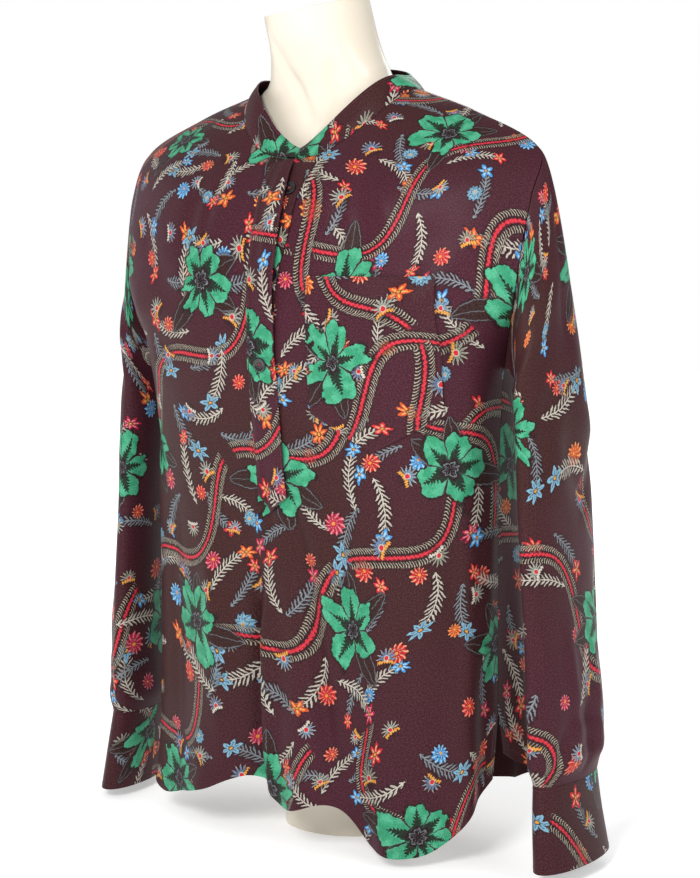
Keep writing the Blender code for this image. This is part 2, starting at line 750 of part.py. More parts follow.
def make_form():
    """The torso form: smooth rings from its flat foot to the slanting cut of its neck."""
    heights = form_heights()
    top = heights[-1]
    vertices = []
    for height in heights:
        ring = smooth_row(FORM, "height", height)
        middle = (ring.front_y + ring.back_y) / 2
        half_depth = (ring.back_y - ring.front_y) / 2
        for step in range(FORM_COLUMNS):
            angle = 2 * math.pi * step / FORM_COLUMNS
            across = math.copysign(abs(math.sin(angle)) ** ring.point, math.sin(angle))
            along = math.copysign(abs(math.cos(angle)) ** ring.point, math.cos(angle))
            x = ring.half_width * across
            y = middle - half_depth * along
            slope = CAP_SLOPE_ACROSS * x + CAP_SLOPE_ALONG * (y - middle)
            slope *= ease(CAP_FROM, top, height)
            vertices.append((x, y, height + slope))
    faces = []
    for row in range(len(heights) - 1):
        for step in range(FORM_COLUMNS):
            beside = (step + 1) % FORM_COLUMNS
            base = row * FORM_COLUMNS
            above = base + FORM_COLUMNS
            faces.append((base + step, base + beside, above + beside, above + step))
    last = len(vertices) - FORM_COLUMNS
    faces.append(tuple(range(FORM_COLUMNS))[::-1])
    faces.append(tuple(range(last, last + FORM_COLUMNS)))
    add_object("torso_form", vertices, faces, FORM_LOOK)


def main():
    for old in list(bpy.data.objects):
        bpy.data.objects.remove(old, do_unlink=True)
    grids = make_body()
    make_sleeves(grids)
    make_collar()
    make_plackets()
    make_pocket()
    make_buttons()
    make_form()


main()
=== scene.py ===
"""The looks of the tunic blouse: printed silk with its creases and stitching, buttons and torso form.

Metres, +Z up, in the part's frame. The cloth surfaces repeat the part's sections at a finer step.
Each cloth piece has a UV map named "cloth" that is its flat cut in metres, and the print, the
creases and the weave are laid out on that cut.
"""

import math
from collections import namedtuple

import bmesh
import bpy
import numpy as np
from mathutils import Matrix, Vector


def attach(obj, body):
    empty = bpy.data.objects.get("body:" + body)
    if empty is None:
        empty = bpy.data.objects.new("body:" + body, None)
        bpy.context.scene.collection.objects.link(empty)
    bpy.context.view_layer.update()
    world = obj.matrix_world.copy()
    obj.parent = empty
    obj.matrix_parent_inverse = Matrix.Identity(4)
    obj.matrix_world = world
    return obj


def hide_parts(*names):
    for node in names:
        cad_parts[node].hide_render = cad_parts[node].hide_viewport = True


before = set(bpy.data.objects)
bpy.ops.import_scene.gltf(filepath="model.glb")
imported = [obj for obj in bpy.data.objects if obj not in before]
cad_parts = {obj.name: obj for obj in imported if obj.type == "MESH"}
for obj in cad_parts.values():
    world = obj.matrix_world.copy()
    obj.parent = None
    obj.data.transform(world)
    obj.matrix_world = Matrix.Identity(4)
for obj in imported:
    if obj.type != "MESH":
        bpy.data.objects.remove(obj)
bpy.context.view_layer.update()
TAU = 2 * math.pi

# The camera, fitted to the photograph: 35 degrees round from the front and about 6 degrees down.
CAMERA_TURN = math.radians(35.0)
CAMERA_PITCH = math.radians(6.09)
CAMERA_DISTANCE = 2.1
CAMERA_SIDEWAYS = 0.020
CAMERA_HEIGHT = 0.623
SENSOR_WIDTH = 36.0
FRAME_HEIGHT_PIXELS = 878
FOCAL_PIXELS = 2100
FLOOR_HALF = 6.0

# Cloth: the visible walls are thinner than the part's, and thicker at the cuffs and the collar.
CLOTH_WALL = 0.0007
BAND_WALL = 0.0011
# The strips and the pocket are as far out as the part's, which are this thick.
LAID_WALL = 0.0010
SEAM_GAP = 0.0003
LAID_ON = 0.0009
TINY = 1e-9

# How many steps the fine surfaces have.
FRONT_COLUMNS = 190
BACK_COLUMNS = 150
HEM_ROWS = 18
SIDE_ROWS = 66
ARMHOLE_ROWS = 46
SHOULDER_ROWS = 22
HEAD_RINGS = 56
TUBE_RINGS = 96
CUFF_RINGS = 22

VENT_TOP = 0.10
UNDERARM = 0.46
SHOULDER_TIP = 0.78
PLAN_POWER = 0.8
FOLD_FADE = 1.2
NORMAL_STEP = 0.004
SEARCH_STEP = 0.002
SEARCH_ROUNDS = 24

Section = namedtuple(
    "Section",
    "way half_width edge_y edge_z open turn front_y front_z front_curve back_y back_z back_curve",
)
SECTIONS = (
    Section(0.00, 0.197, 0.004, 0.070, 0.010, 90, -0.096, 0.070, 2.0, 0.120, 0.070, 2.0),
    Section(0.10, 0.196, 0.004, 0.132, 0.000, 90, -0.094, 0.135, 2.0, 0.119, 0.132, 2.0),
    Section(0.25, 0.196, 0.003, 0.250, 0.000, 90, -0.092, 0.250, 2.0, 0.115, 0.240, 2.0),
    Section(0.38, 0.198, 0.001, 0.375, 0.000, 90, -0.098, 0.375, 2.0, 0.109, 0.370, 2.0),
    Section(0.46, 0.203, 0.000, 0.478, 0.000, 90, -0.1105, 0.468, 2.0, 0.106, 0.475, 2.0),
    Section(0.54, 0.230, 0.000, 0.538, 0.032, 62, -0.113, 0.518, 2.0, 0.107, 0.545, 2.0),
    Section(0.62, 0.237, 0.000, 0.590, 0.030, 52, -0.112, 0.558, 2.2, 0.106, 0.600, 2.0),
    Section(0.70, 0.241, 0.001, 0.640, 0.020, 52, -0.106, 0.596, 2.4, 0.101, 0.650, 2.0),
    Section(0.78, 0.237, 0.003, 0.685, 0.000, 62, -0.097, 0.630, 2.5, 0.094, 0.695, 2.0),
    Section(0.89, 0.165, 0.005, 0.721, 0.000, 72, -0.083, 0.656, 2.3, 0.086, 0.725, 2.0),
    Section(1.00, 0.098, 0.008, 0.744, 0.000, 80, -0.063, 0.677, 1.9, 0.074, 0.742, 2.0),
)

HemPoint = namedtuple("HemPoint", "across height")
FRONT_HEM = (
    HemPoint(-1.00, 0.080), HemPoint(-0.86, 0.040), HemPoint(-0.65, 0.024), HemPoint(-0.42, 0.034),
    HemPoint(-0.24, 0.046), HemPoint(-0.10, 0.065), HemPoint(-0.04, 0.061), HemPoint(0.02, 0.043),
    HemPoint(0.14, 0.054), HemPoint(0.20, 0.049), HemPoint(0.30, 0.018), HemPoint(0.50, 0.012),
    HemPoint(0.66, 0.024), HemPoint(0.84, 0.054), HemPoint(1.00, 0.081),
)
BACK_HEM = (
    HemPoint(-1.00, 0.100), HemPoint(-0.85, 0.072), HemPoint(-0.50, 0.049), HemPoint(-0.15, 0.055),
    HemPoint(0.20, 0.047), HemPoint(0.55, 0.055), HemPoint(0.78, 0.074), HemPoint(0.92, 0.088),
    HemPoint(1.00, 0.102),
)

Fold = namedtuple("Fold", "at_hem at_top top width depth")
FRONT_FOLDS = (
    Fold(-0.80, -0.72, 0.50, 0.10, 0.007),
    Fold(-0.50, -0.44, 0.56, 0.12, -0.006),
    Fold(-0.26, -0.20, 0.46, 0.10, 0.006),
    Fold(-0.050, -0.060, 0.38, 0.075, -0.017),
    Fold(0.070, 0.020, 0.40, 0.080, 0.011),
    Fold(0.275, 0.140, 0.50, 0.080, -0.015),
    Fold(0.400, 0.260, 0.46, 0.100, 0.010),
    Fold(0.640, 0.600, 0.38, 0.090, -0.006),
    Fold(0.800, 0.760, 0.38, 0.090, 0.006),
    Fold(0.920, 0.900, 0.40, 0.070, -0.006),
)
BACK_FOLDS = (
    Fold(-0.74, -0.68, 0.52, 0.11, 0.011),
    Fold(-0.52, -0.44, 0.60, 0.08, -0.010),
    Fold(-0.34, -0.28, 0.62, 0.09, 0.009),
    Fold(-0.12, -0.10, 0.66, 0.08, -0.012),
    Fold(0.10, 0.06, 0.60, 0.09, 0.010),
    Fold(0.32, 0.24, 0.70, 0.08, -0.011),
    Fold(0.52, 0.46, 0.56, 0.08, 0.007),
    Fold(0.83, 0.79, 0.50, 0.13, 0.022),
)

Ring = namedtuple("Ring", "height centre_x centre_y half_depth half_thick yaw")
LEFT_SLEEVE = (
    Ring(0.420, 0.2540, 0.004, 0.0610, 0.0210, 0),
    Ring(0.330, 0.2580, 0.005, 0.0630, 0.0185, 0),
    Ring(0.230, 0.2650, 0.006, 0.0640, 0.0190, 0),
    Ring(0.150, 0.2710, 0.006, 0.0625, 0.0220, 0),
    Ring(0.112, 0.2700, 0.006, 0.0590, 0.0215, 0),
    Ring(0.094, 0.2700, 0.006, 0.0525, 0.0190, 0),
)
LEFT_CUFF = (
    Ring(0.094 - SEAM_GAP, 0.2700, 0.006, 0.0525, 0.0190, 0),
    Ring(0.060, 0.2725, 0.006, 0.0575, 0.0195, 0),
    Ring(0.014, 0.2780, 0.006, 0.0635, 0.0215, 0),
)
RIGHT_SLEEVE = (
    Ring(0.420, -0.2390, 0.004, 0.0580, 0.0205, 12),
    Ring(0.330, -0.2420, 0.004, 0.0590, 0.0185, 12),
    Ring(0.230, -0.2480, 0.004, 0.0605, 0.0190, 12),
    Ring(0.150, -0.2510, 0.004, 0.0615, 0.0220, 12),
    Ring(0.112, -0.2530, 0.004, 0.0600, 0.0220, 12),
    Ring(0.094, -0.2560, 0.004, 0.0530, 0.0190, 12),
)
RIGHT_CUFF = (
    Ring(0.094 - SEAM_GAP, -0.2560, 0.004, 0.0530, 0.0190, 12),
    Ring(0.060, -0.2610, 0.004, 0.0570, 0.0195, 12),
    Ring(0.010, -0.2680, 0.004, 0.0610, 0.0215, 12),
)
HEAD_FALL = 0.12
HEAD_SIDE_FALL = 0.20
HEAD_GAP = 2.5 * SEAM_GAP
# The sleeve's creases fade out over this length from the cuff, and between these two below the armhole.
FADE_AT_CUFF = 0.012
FADE_FROM = 0.06
FADE_TO = 0.01

# Creases on the flat cut, in metres from the chest line's centre: from one end to the other, with
# the width of the trough (depth under 0) or ridge (over 0). A lopsided crease is steep on one side.
Crease = namedtuple("Crease", "u0 v0 u1 v1 width depth lopsided", defaults=(0.0,))
FRONT_CREASES = (
    Crease(-0.030, -0.140, -0.034, -0.420, 0.009, -0.0105, 0.6),
    Crease(-0.013, -0.200, -0.009, -0.430, 0.011, 0.0085),
    Crease(0.020, -0.110, 0.075, -0.400, 0.011, -0.0080, 0.5),
    Crease(0.060, -0.180, 0.108, -0.420, 0.013, 0.0055),
    Crease(-0.004, -0.075, -0.006, -0.170, 0.006, -0.0042),
    Crease(0.022, -0.085, 0.030, -0.200, 0.007, -0.0040),
    Crease(0.205, 0.150, 0.110, 0.060, 0.020, -0.0037),
    Crease(0.215, 0.118, 0.120, 0.015, 0.020, 0.0028),
    Crease(0.225, 0.060, 0.160, -0.060, 0.018, -0.0034),
    Crease(0.235, 0.010, 0.190, -0.150, 0.016, 0.0042),
    Crease(0.180, -0.060, 0.205, -0.330, 0.018, -0.0045, 0.3),
    Crease(0.240, -0.080, 0.245, -0.300, 0.012, 0.0033),
    Crease(-0.205, 0.150, -0.120, 0.070, 0.020, -0.0034),
    Crease(-0.215, 0.080, -0.140, -0.020, 0.020, 0.0028),
    Crease(-0.225, 0.020, -0.170, -0.130, 0.018, -0.0042),
    Crease(-0.150, -0.100, -0.165, -0.380, 0.018, -0.0039, 0.3),
    Crease(-0.085, -0.140, -0.070, -0.400, 0.016, 0.0039),
    Crease(0.088, 0.215, 0.118, 0.100, 0.012, -0.0028),
    Crease(0.068, 0.210, 0.085, 0.130, 0.007, -0.0022),
    Crease(0.102, 0.215, 0.140, 0.130, 0.008, 0.0022),
    Crease(0.120, 0.150, 0.060, 0.070, 0.014, -0.0026),
    Crease(-0.090, 0.205, -0.110, 0.110, 0.012, -0.0024),
    Crease(-0.072, 0.205, -0.080, 0.140, 0.007, -0.0018),
    Crease(0.020, 0.020, 0.045, -0.070, 0.012, -0.0021),
)
BACK_CREASES = (
    Crease(-0.215, 0.140, -0.110, 0.060, 0.022, -0.0037),
    Crease(-0.225, 0.060, -0.150, -0.060, 0.020, 0.0030),
    Crease(-0.120, -0.080, -0.150, -0.380, 0.018, -0.0048, 0.3),
    Crease(-0.040, -0.020, -0.055, -0.390, 0.018, 0.0042),
    Crease(0.030, 0.040, 0.022, -0.390, 0.016, -0.0045, 0.4),
    Crease(0.100, -0.040, 0.125, -0.380, 0.018, 0.0045),
    Crease(0.215, 0.130, 0.120, 0.040, 0.022, -0.0034),
    Crease(0.225, 0.040, 0.170, -0.120, 0.018, 0.0039),
    Crease(0.180, -0.120, 0.200, -0.370, 0.016, -0.0045),
    Crease(0.000, 0.215, 0.010, 0.100, 0.020, -0.0018),
)
# On the sleeves u runs round from the underarm seam and v up from the cuff.
LEFT_CREASES = (
    Crease(0.075, 0.020, 0.090, 0.200, 0.009, -0.0042, 0.3),
    Crease(0.105, 0.000, 0.118, 0.130, 0.007, 0.0039),
    Crease(0.128, 0.000, 0.132, 0.090, 0.006, -0.0042),
    Crease(0.150, 0.000, 0.160, 0.150, 0.008, 0.0033),
    Crease(0.178, 0.000, 0.172, 0.060, 0.006, -0.0039),
    Crease(0.205, 0.000, 0.215, 0.110, 0.008, 0.0033),
    Crease(0.050, 0.010, 0.060, 0.120, 0.007, -0.0030),
    Crease(0.100, 0.240, 0.150, 0.340, 0.016, -0.0045),
    Crease(0.085, 0.300, 0.135, 0.430, 0.016, 0.0033),
    Crease(0.130, 0.400, 0.160, 0.520, 0.018, -0.0036),
    Crease(0.060, 0.360, 0.110, 0.260, 0.014, -0.0033),
    Crease(0.190, 0.260, 0.160, 0.380, 0.016, -0.0036),
    Crease(0.240, 0.330, 0.190, 0.470, 0.018, 0.0036),
    Crease(0.060, 0.030, 0.200, 0.022, 0.010, 0.0033),
    Crease(0.090, 0.055, 0.180, 0.070, 0.010, -0.0030),
)
RIGHT_CREASES = (
    Crease(0.080, 0.015, 0.100, 0.190, 0.009, -0.0042, 0.3),
    Crease(0.120, 0.000, 0.126, 0.120, 0.007, 0.0039),
    Crease(0.142, 0.000, 0.140, 0.080, 0.006, -0.0039),
    Crease(0.170, 0.000, 0.176, 0.140, 0.008, 0.0033),
    Crease(0.196, 0.000, 0.190, 0.070, 0.006, -0.0036),
    Crease(0.055, 0.010, 0.062, 0.110, 0.007, -0.0030),
    Crease(0.090, 0.230, 0.140, 0.340, 0.016, -0.0042),
    Crease(0.120, 0.380, 0.150, 0.500, 0.018, 0.0033),
    Crease(0.200, 0.280, 0.170, 0.400, 0.016, -0.0036),
    Crease(0.235, 0.340, 0.200, 0.460, 0.016, 0.0030),
    Crease(0.070, 0.028, 0.190, 0.020, 0.010, 0.0036),
    Crease(0.100, 0.060, 0.180, 0.072, 0.010, -0.0030),
)
CHEST_WAY = 0.46
# Where each piece's cut lies on the printed cloth.
PLACES = {
    "front": (0.0, 0.0),
    "back": (1.3, 0.35),
    "sleeve_left": (2.2, 0.1),
    "sleeve_right": (3.1, 0.5),
    "cuff_left": (2.51, -0.03),
    "cuff_right": (3.41, 0.37),
    "collar_band": (0.62, 0.41),
    "placket_over": (0.37, 0.22),
    "placket_under": (0.115, 0.29),
    "pocket": (0.53, 0.07),
}

# The band collar.
BAND_COLUMNS = 260
BAND_ROWS = 12
BAND_TOP_WIDTH = 0.079
BAND_TOP_SIDE = (0.006, 0.758)
BAND_TOP_FRONT = (-0.049, 0.688)
BAND_TOP_BACK = (0.060, 0.769)
BAND_OVER_END = -3.0
BAND_UNDER_END = -5.0
BAND_BELLY = 0.0015
BAND_LAP = 0.0022
BAND_LAP_FROM = 330.0
BAND_LAP_FULL = 346.0

# The placket strips.
PLACKET_HALF = 0.017
PLACKET_TIP = 0.017
PLACKET_TIP_REACH = 0.12
PLACKET_ROWS = 150
OVER_COLUMNS = 24
UNDER_COLUMNS = 16
LAP_LIFT = 0.0026
LAP_EDGE = -0.0115
OPEN_LIFT = 0.0057
OPEN_FROM = 0.500
OPEN_FULL = 0.556
OPEN_EDGE = -0.011
OPEN_FREE = 0.004
StripEdge = namedtuple("StripEdge", "height left right")
OVER_EDGES = (
    StripEdge(0.352, -0.0170, 0.0170),
    StripEdge(0.560, -0.0170, 0.0170),
    StripEdge(0.640, -0.0170, 0.0170),
    StripEdge(0.672, -0.0200, 0.0100),
)
UNDER_EDGES = (
    StripEdge(0.380, -0.0110, 0.0150),
    StripEdge(0.500, -0.0110, 0.0150),
    StripEdge(0.566, -0.0080, 0.0185),
    StripEdge(0.606, -0.0060, 0.0265),
    StripEdge(0.640, -0.0060, 0.0285),
    StripEdge(0.672, -0.0080, 0.0340),
)
PLACKET_BAR = 0.372

# The chest pocket.
POCKET_LEFT = 0.052
POCKET_RIGHT = 0.176
POCKET_TOP = 0.566
POCKET_SIDE_FOOT = 0.436
POCKET_TIP = 0.400
POCKET_COLUMNS = 56
POCKET_ROWS = 64
POCKET_HEM_ROWS = 7
POCKET_TURN_FROM = 0.125
POCKET_TURN_LIFT = 0.0014

# The buttons: x, height and how far each stands off the front.
BUTTON_RADIUS = 0.007
BUTTON_THICK = 0.0022
BUTTON_HOLE_RADIUS = 0.00085
BUTTON_HOLE_AWAY = 0.0017
BUTTON_SIDES = 56
BUTTON_HOLES = 4
BUTTON_HOLE_SIDES = 20
# The outline from the top's middle round to the underside, as shares of the radius and thickness.
BUTTON_PROFILE = (
    (0.0, 0.70), (0.50, 0.70), (0.66, 0.76), (0.76, 0.96), (0.88, 1.0),
    (0.97, 0.88), (1.0, 0.62), (0.97, 0.25), (0.84, 0.0), (0.0, 0.0),
)
THREAD_RADIUS = 0.00042
THREAD_STEPS = 8
Button = namedtuple("Button", "x height lift")
BUTTONS = (
    Button(0.0180, 0.647, LAID_ON + LAID_WALL + SEAM_GAP),
    Button(0.0145, 0.566, LAID_ON + LAID_WALL + SEAM_GAP),
    Button(0.0010, 0.481, LAP_LIFT + LAID_WALL + 2 * SEAM_GAP),
)

# Stitching: one stitch, the gap after it, half its thickness, how high it stands in those halves, and
# how far the hem's stitch line lies from the edge.
STITCH_LONG = 0.0021
STITCH_GAP = 0.0007
STITCH_HALF = 0.00016
STITCH_RISE = 1.6
HEM_DEPTH = 0.0070

# The torso form.
FormRing = namedtuple("FormRing", "height half_width front_y back_y point")
FORM = (
    FormRing(0.000, 0.060, -0.030, 0.070, 0.95),
    FormRing(0.040, 0.064, -0.032, 0.072, 0.95),
    FormRing(0.090, 0.104, -0.052, 0.080, 0.95),
    FormRing(0.150, 0.144, -0.066, 0.090, 0.92),
    FormRing(0.220, 0.155, -0.070, 0.091, 0.90),
    FormRing(0.320, 0.138, -0.070, 0.076, 0.90),
    FormRing(0.420, 0.150, -0.083, 0.084, 0.90),
    FormRing(0.500, 0.160, -0.094, 0.090, 0.90),
    FormRing(0.560, 0.168, -0.090, 0.091, 0.92),
    FormRing(0.620, 0.186, -0.071, 0.085, 1.00),
    FormRing(0.660, 0.200, -0.053, 0.078, 1.15),
    FormRing(0.688, 0.200, -0.041, 0.070, 1.35),
    FormRing(0.7046, 0.184, -0.038, 0.064, 1.50),
    FormRing(0.7195, 0.1535, -0.037, 0.059, 1.60),
    FormRing(0.7345, 0.1130, -0.038, 0.056, 1.50),
    FormRing(0.7488, 0.0763, -0.042, 0.053, 1.15),
    FormRing(0.768, 0.0610, -0.052, 0.0525, 1.00),
    FormRing(0.795, 0.0525, -0.065, 0.044, 1.00),
    FormRing(0.8265, 0.0505, -0.074, 0.028, 1.00),
)
FORM_COLUMNS = 128
FORM_ROWS = 150
# Two soft grooves run down the neck's front, each from one point to another as seen from the front.
Groove = namedtuple("Groove", "x0 z0 x1 z1 width depth")
NECK_GROOVES = (
    Groove(-0.028, 0.790, 0.003, 0.718, 0.0070, 0.0040),
    Groove(0.032, 0.765, 0.012, 0.695, 0.0055, 0.0040),
)
# The neck's cut slopes up to the wearer's left and to the back.
CAP_SLOPE_ACROSS = 0.12
CAP_SLOPE_ALONG = 0.21
CAP_FROM = 0.770


def smooth_rows(table, key, values):
    """Reads every column of a table at many values of one column, smoothly. A dict of arrays."""
    keys = np.array([getattr(row, key) for row in table], float)
    rows = np.array(table, float)
    if keys[0] > keys[-1]:
        keys = keys[::-1]
        rows = rows[::-1]
    values = np.clip(np.asarray(values, float), keys[0], keys[-1])
    at = np.clip(np.searchsorted(keys, values, side="right") - 1, 0, len(keys) - 2)
    span = keys[at + 1] - keys[at]
    part = ((values - keys[at]) / span)[..., None]
    before = np.maximum(at - 1, 0)
    after = np.minimum(at + 2, len(keys) - 1)
    span = span[..., None]
    slope_in = (rows[at + 1] - rows[before]) / (keys[at + 1] - keys[before])[..., None] * span
    slope_out = (rows[after] - rows[at]) / (keys[after] - keys[at])[..., None] * span
    mixed = (
        (2 * part**3 - 3 * part**2 + 1) * rows[at]
        + (part**3 - 2 * part**2 + part) * slope_in
        + (3 * part**2 - 2 * part**3) * rows[at + 1]
        + (part**3 - part**2) * slope_out
    )
    return {name: mixed[..., index] for index, name in enumerate(table[0]._fields)}


def ease(low, high, values):
    """0 below low, 1 above high, and a soft step between."""
    part = np.clip((np.asarray(values, float) - low) / (high - low), 0.0, 1.0)
    return part * part * (3 - 2 * part)


def unit(vectors):
    length = np.linalg.norm(vectors, axis=-1, keepdims=True)
    return vectors / np.maximum(length, TINY)


def bare_points(across, way, back=False):
    """Points of the body before its folds."""
    across, way = np.broadcast_arrays(np.asarray(across, float), np.asarray(way, float))
    row = smooth_rows(SECTIONS, "way", way)
    opened = np.maximum(row["open"], 0.0)
    if back:
        centre_y, centre_z, curve = row["back_y"], row["back_z"], row["back_curve"]
        edge_y = row["edge_y"] + opened + SEAM_GAP / 2
    else:
        centre_y, centre_z, curve = row["front_y"], row["front_z"], row["front_curve"]
        edge_y = row["edge_y"] - opened - SEAM_GAP / 2
    edge_turn = np.radians(row["turn"])
    turn = np.abs(across) * edge_turn
    share = np.sin(turn) / np.sin(edge_turn)
    x = np.sign(across) * row["half_width"] * share**PLAN_POWER
    falloff = np.maximum(np.cos(turn), 0.0) ** PLAN_POWER
    edge_falloff = np.maximum(np.cos(edge_turn), 0.0) ** PLAN_POWER
    y = edge_y + (centre_y - edge_y) * (falloff - edge_falloff) / (1 - edge_falloff)
    z = centre_z + (row["edge_z"] - centre_z) * share**curve
    hem = smooth_rows(BACK_HEM if back else FRONT_HEM, "across", across)["height"]
    z = z + (hem - SECTIONS[0].edge_z) * (1 - ease(0.0, UNDERARM, way))
    return np.stack([x, y, z], axis=-1)


def fold_depths(across, way, back=False):
    total = np.zeros(np.broadcast(across, way).shape)
    for fold in BACK_FOLDS if back else FRONT_FOLDS:
        part = np.clip(way / fold.top, 0.0, 1.0)
        middle = fold.at_hem + (fold.at_top - fold.at_hem) * part
        offset = (across - middle) / fold.width
        total = total + fold.depth * (1 - part) ** FOLD_FADE * np.exp(-offset * offset)
    return total


def body_normals(across, way, back=False):
    step = NORMAL_STEP
    left = bare_points(np.minimum(across + step, 1), way, back)
    right = bare_points(np.maximum(across - step, -1), way, back)
    above = bare_points(across, np.minimum(way + step, 1), back)
    below = bare_points(across, np.maximum(way - step, 0), back)
    normals = unit(np.cross(left - right, above - below))
    return -normals if back else normals


def body_points(across, way, back=False):
    """Points of the body's outer face with its folds, without the finer creases."""
    across, way = np.broadcast_arrays(np.asarray(across, float), np.asarray(way, float))
    depth = fold_depths(across, way, back) * (1 - np.abs(across) ** 12)
    return bare_points(across, way, back) + body_normals(across, way, back) * depth[..., None]


def grid_normals(points, closed=False):
    up = np.gradient(points, axis=0)
    if closed:
        across = np.roll(points, -1, axis=1) - np.roll(points, 1, axis=1)
    else:
        across = np.gradient(points, axis=1)
    return unit(np.cross(across, up))


def run_lengths(points, axis):
    """The distance along each row or column of a grid from its first point."""
    steps = np.linalg.norm(np.diff(points, axis=axis), axis=-1)
    zero = np.zeros_like(np.take(steps, [0], axis=axis))
    return np.concatenate([zero, np.cumsum(steps, axis=axis)], axis=axis)


def crease_depths(u, v, creases):
    """How far the creases move the cloth out at each place of the flat cut."""
    total = np.zeros(np.shape(u))
    for crease in creases:
        along = np.array([crease.u1 - crease.u0, crease.v1 - crease.v0])
        length = np.linalg.norm(along)
        along = along / length
        run = (u - crease.u0) * along[0] + (v - crease.v0) * along[1]
        off = ((u - crease.u0) * -along[1] + (v - crease.v0) * along[0]) / crease.width
        bow = 0.25 * np.sin(math.pi * np.clip(run / length, 0, 1))
        off = off + bow
        fade = ease(0.0, 0.35 * length, run) * (1 - ease(0.70 * length, 1.12 * length, run))
        shape = np.exp(-off * off) * (1 + crease.lopsided * np.tanh(2 * off))
        total = total + crease.depth * fade * shape
    return total


class Panel:
    """The front or the back: fine points, normals and flat cut, read between its grid lines."""

    def __init__(self, back):
        self.back = back
        columns = BACK_COLUMNS if back else FRONT_COLUMNS
        self.across = np.linspace(-1, 1, columns + 1)
        self.ways = np.array(body_ways())
        across = self.across[None, :]
        way = self.ways[:, None]
        points = body_points(across, way, back)
        middle = columns // 2
        u = run_lengths(points, 1)
        u = u - u[:, [middle]]
        v = run_lengths(points, 0)
        chest = int(np.argmin(np.abs(self.ways - CHEST_WAY)))
        v = v - v[[chest]]
        facing = -1 if back else 1
        normals = grid_normals(points) * facing
        edge = (1 - np.abs(across) ** 10) * (1 - ease(0.90, 1.0, way))
        depth = crease_depths(u, v, BACK_CREASES if back else FRONT_CREASES) * edge
        self.points = points + normals * depth[..., None]
        self.normals = grid_normals(self.points) * facing
        self.flat = np.stack([u * facing, v], axis=-1)

    def read(self, across, way):
        """Points, normals and flat cut at any across and way."""
        column = (np.asarray(across) + 1) / 2 * (len(self.across) - 1)
        row = np.interp(way, self.ways, np.arange(len(self.ways)))
        i = np.clip(row.astype(int), 0, len(self.ways) - 2)
        j = np.clip(column.astype(int), 0, len(self.across) - 2)
        a = (row - i)[..., None]
        b = (column - j)[..., None]
        found = []
        for grid in (self.points, self.normals, self.flat):
            low = grid[i, j] * (1 - b) + grid[i, j + 1] * b
            high = grid[i + 1, j] * (1 - b) + grid[i + 1, j + 1] * b
            found.append(low * (1 - a) + high * a)
        return found[0], unit(found[1]), found[2]


def body_ways():
    stages = (
        (0.0, VENT_TOP, HEM_ROWS),
        (VENT_TOP, UNDERARM, SIDE_ROWS),
        (UNDERARM, SHOULDER_TIP, ARMHOLE_ROWS),
        (SHOULDER_TIP, 1.0, SHOULDER_ROWS),
    )
    ways = [0.0]
    for low, high, count in stages:
        ways += [low + (high - low) * (i + 1) / count for i in range(count)]
    return ways


UNDERARM_ROW = HEM_ROWS + SIDE_ROWS
TIP_ROW = UNDERARM_ROW + ARMHOLE_ROWS


def find_on_front(x, height):
    """The across and way of the front's points at these x and heights."""
    x, height = np.broadcast_arrays(np.asarray(x, float), np.asarray(height, float))
    across = x / 0.25
    way = np.full(x.shape, 0.5)
    step = SEARCH_STEP
    for _ in range(SEARCH_ROUNDS):
        here = body_points(across, way)
        by_across = (body_points(across + step, way) - here) / step
        by_way = (body_points(across, way + step) - here) / step
        miss_x = x - here[..., 0]
        miss_z = height - here[..., 2]
        det = by_across[..., 0] * by_way[..., 2] - by_way[..., 0] * by_across[..., 2]
        move_across = (miss_x * by_way[..., 2] - miss_z * by_way[..., 0]) / det
        move_way = (miss_z * by_across[..., 0] - miss_x * by_across[..., 2]) / det
        across = np.clip(across + np.clip(move_across, -0.1, 0.1), -0.99, 0.99)
        way = np.clip(way + np.clip(move_way, -0.1, 0.1), 0.01, 0.995)
    return across, way


def cell_corners(grid):
    """The four corners of each cell of a grid of numbers or places, in turn round the cell."""
    corners = np.stack([grid[:-1, :-1], grid[:-1, 1:], grid[1:, 1:], grid[1:, :-1]], axis=2)
    return corners.reshape(-1, *corners.shape[2:])


def shut(grid):
    """A closed grid with its first column again at the end."""
    return np.concatenate([grid, grid[:, :1]], axis=1)


def grid_lines(points, normals, columns=(), rows=()):
    """Some columns and rows of a grid, as lines of points with their normals."""
    lines = [(points[:, column], normals[:, column]) for column in columns]
    return lines + [(points[row], normals[row]) for row in rows]


def add_object(name, data):
    made = bpy.data.objects.new(name, data)
    bpy.context.scene.collection.objects.link(made)
    return made


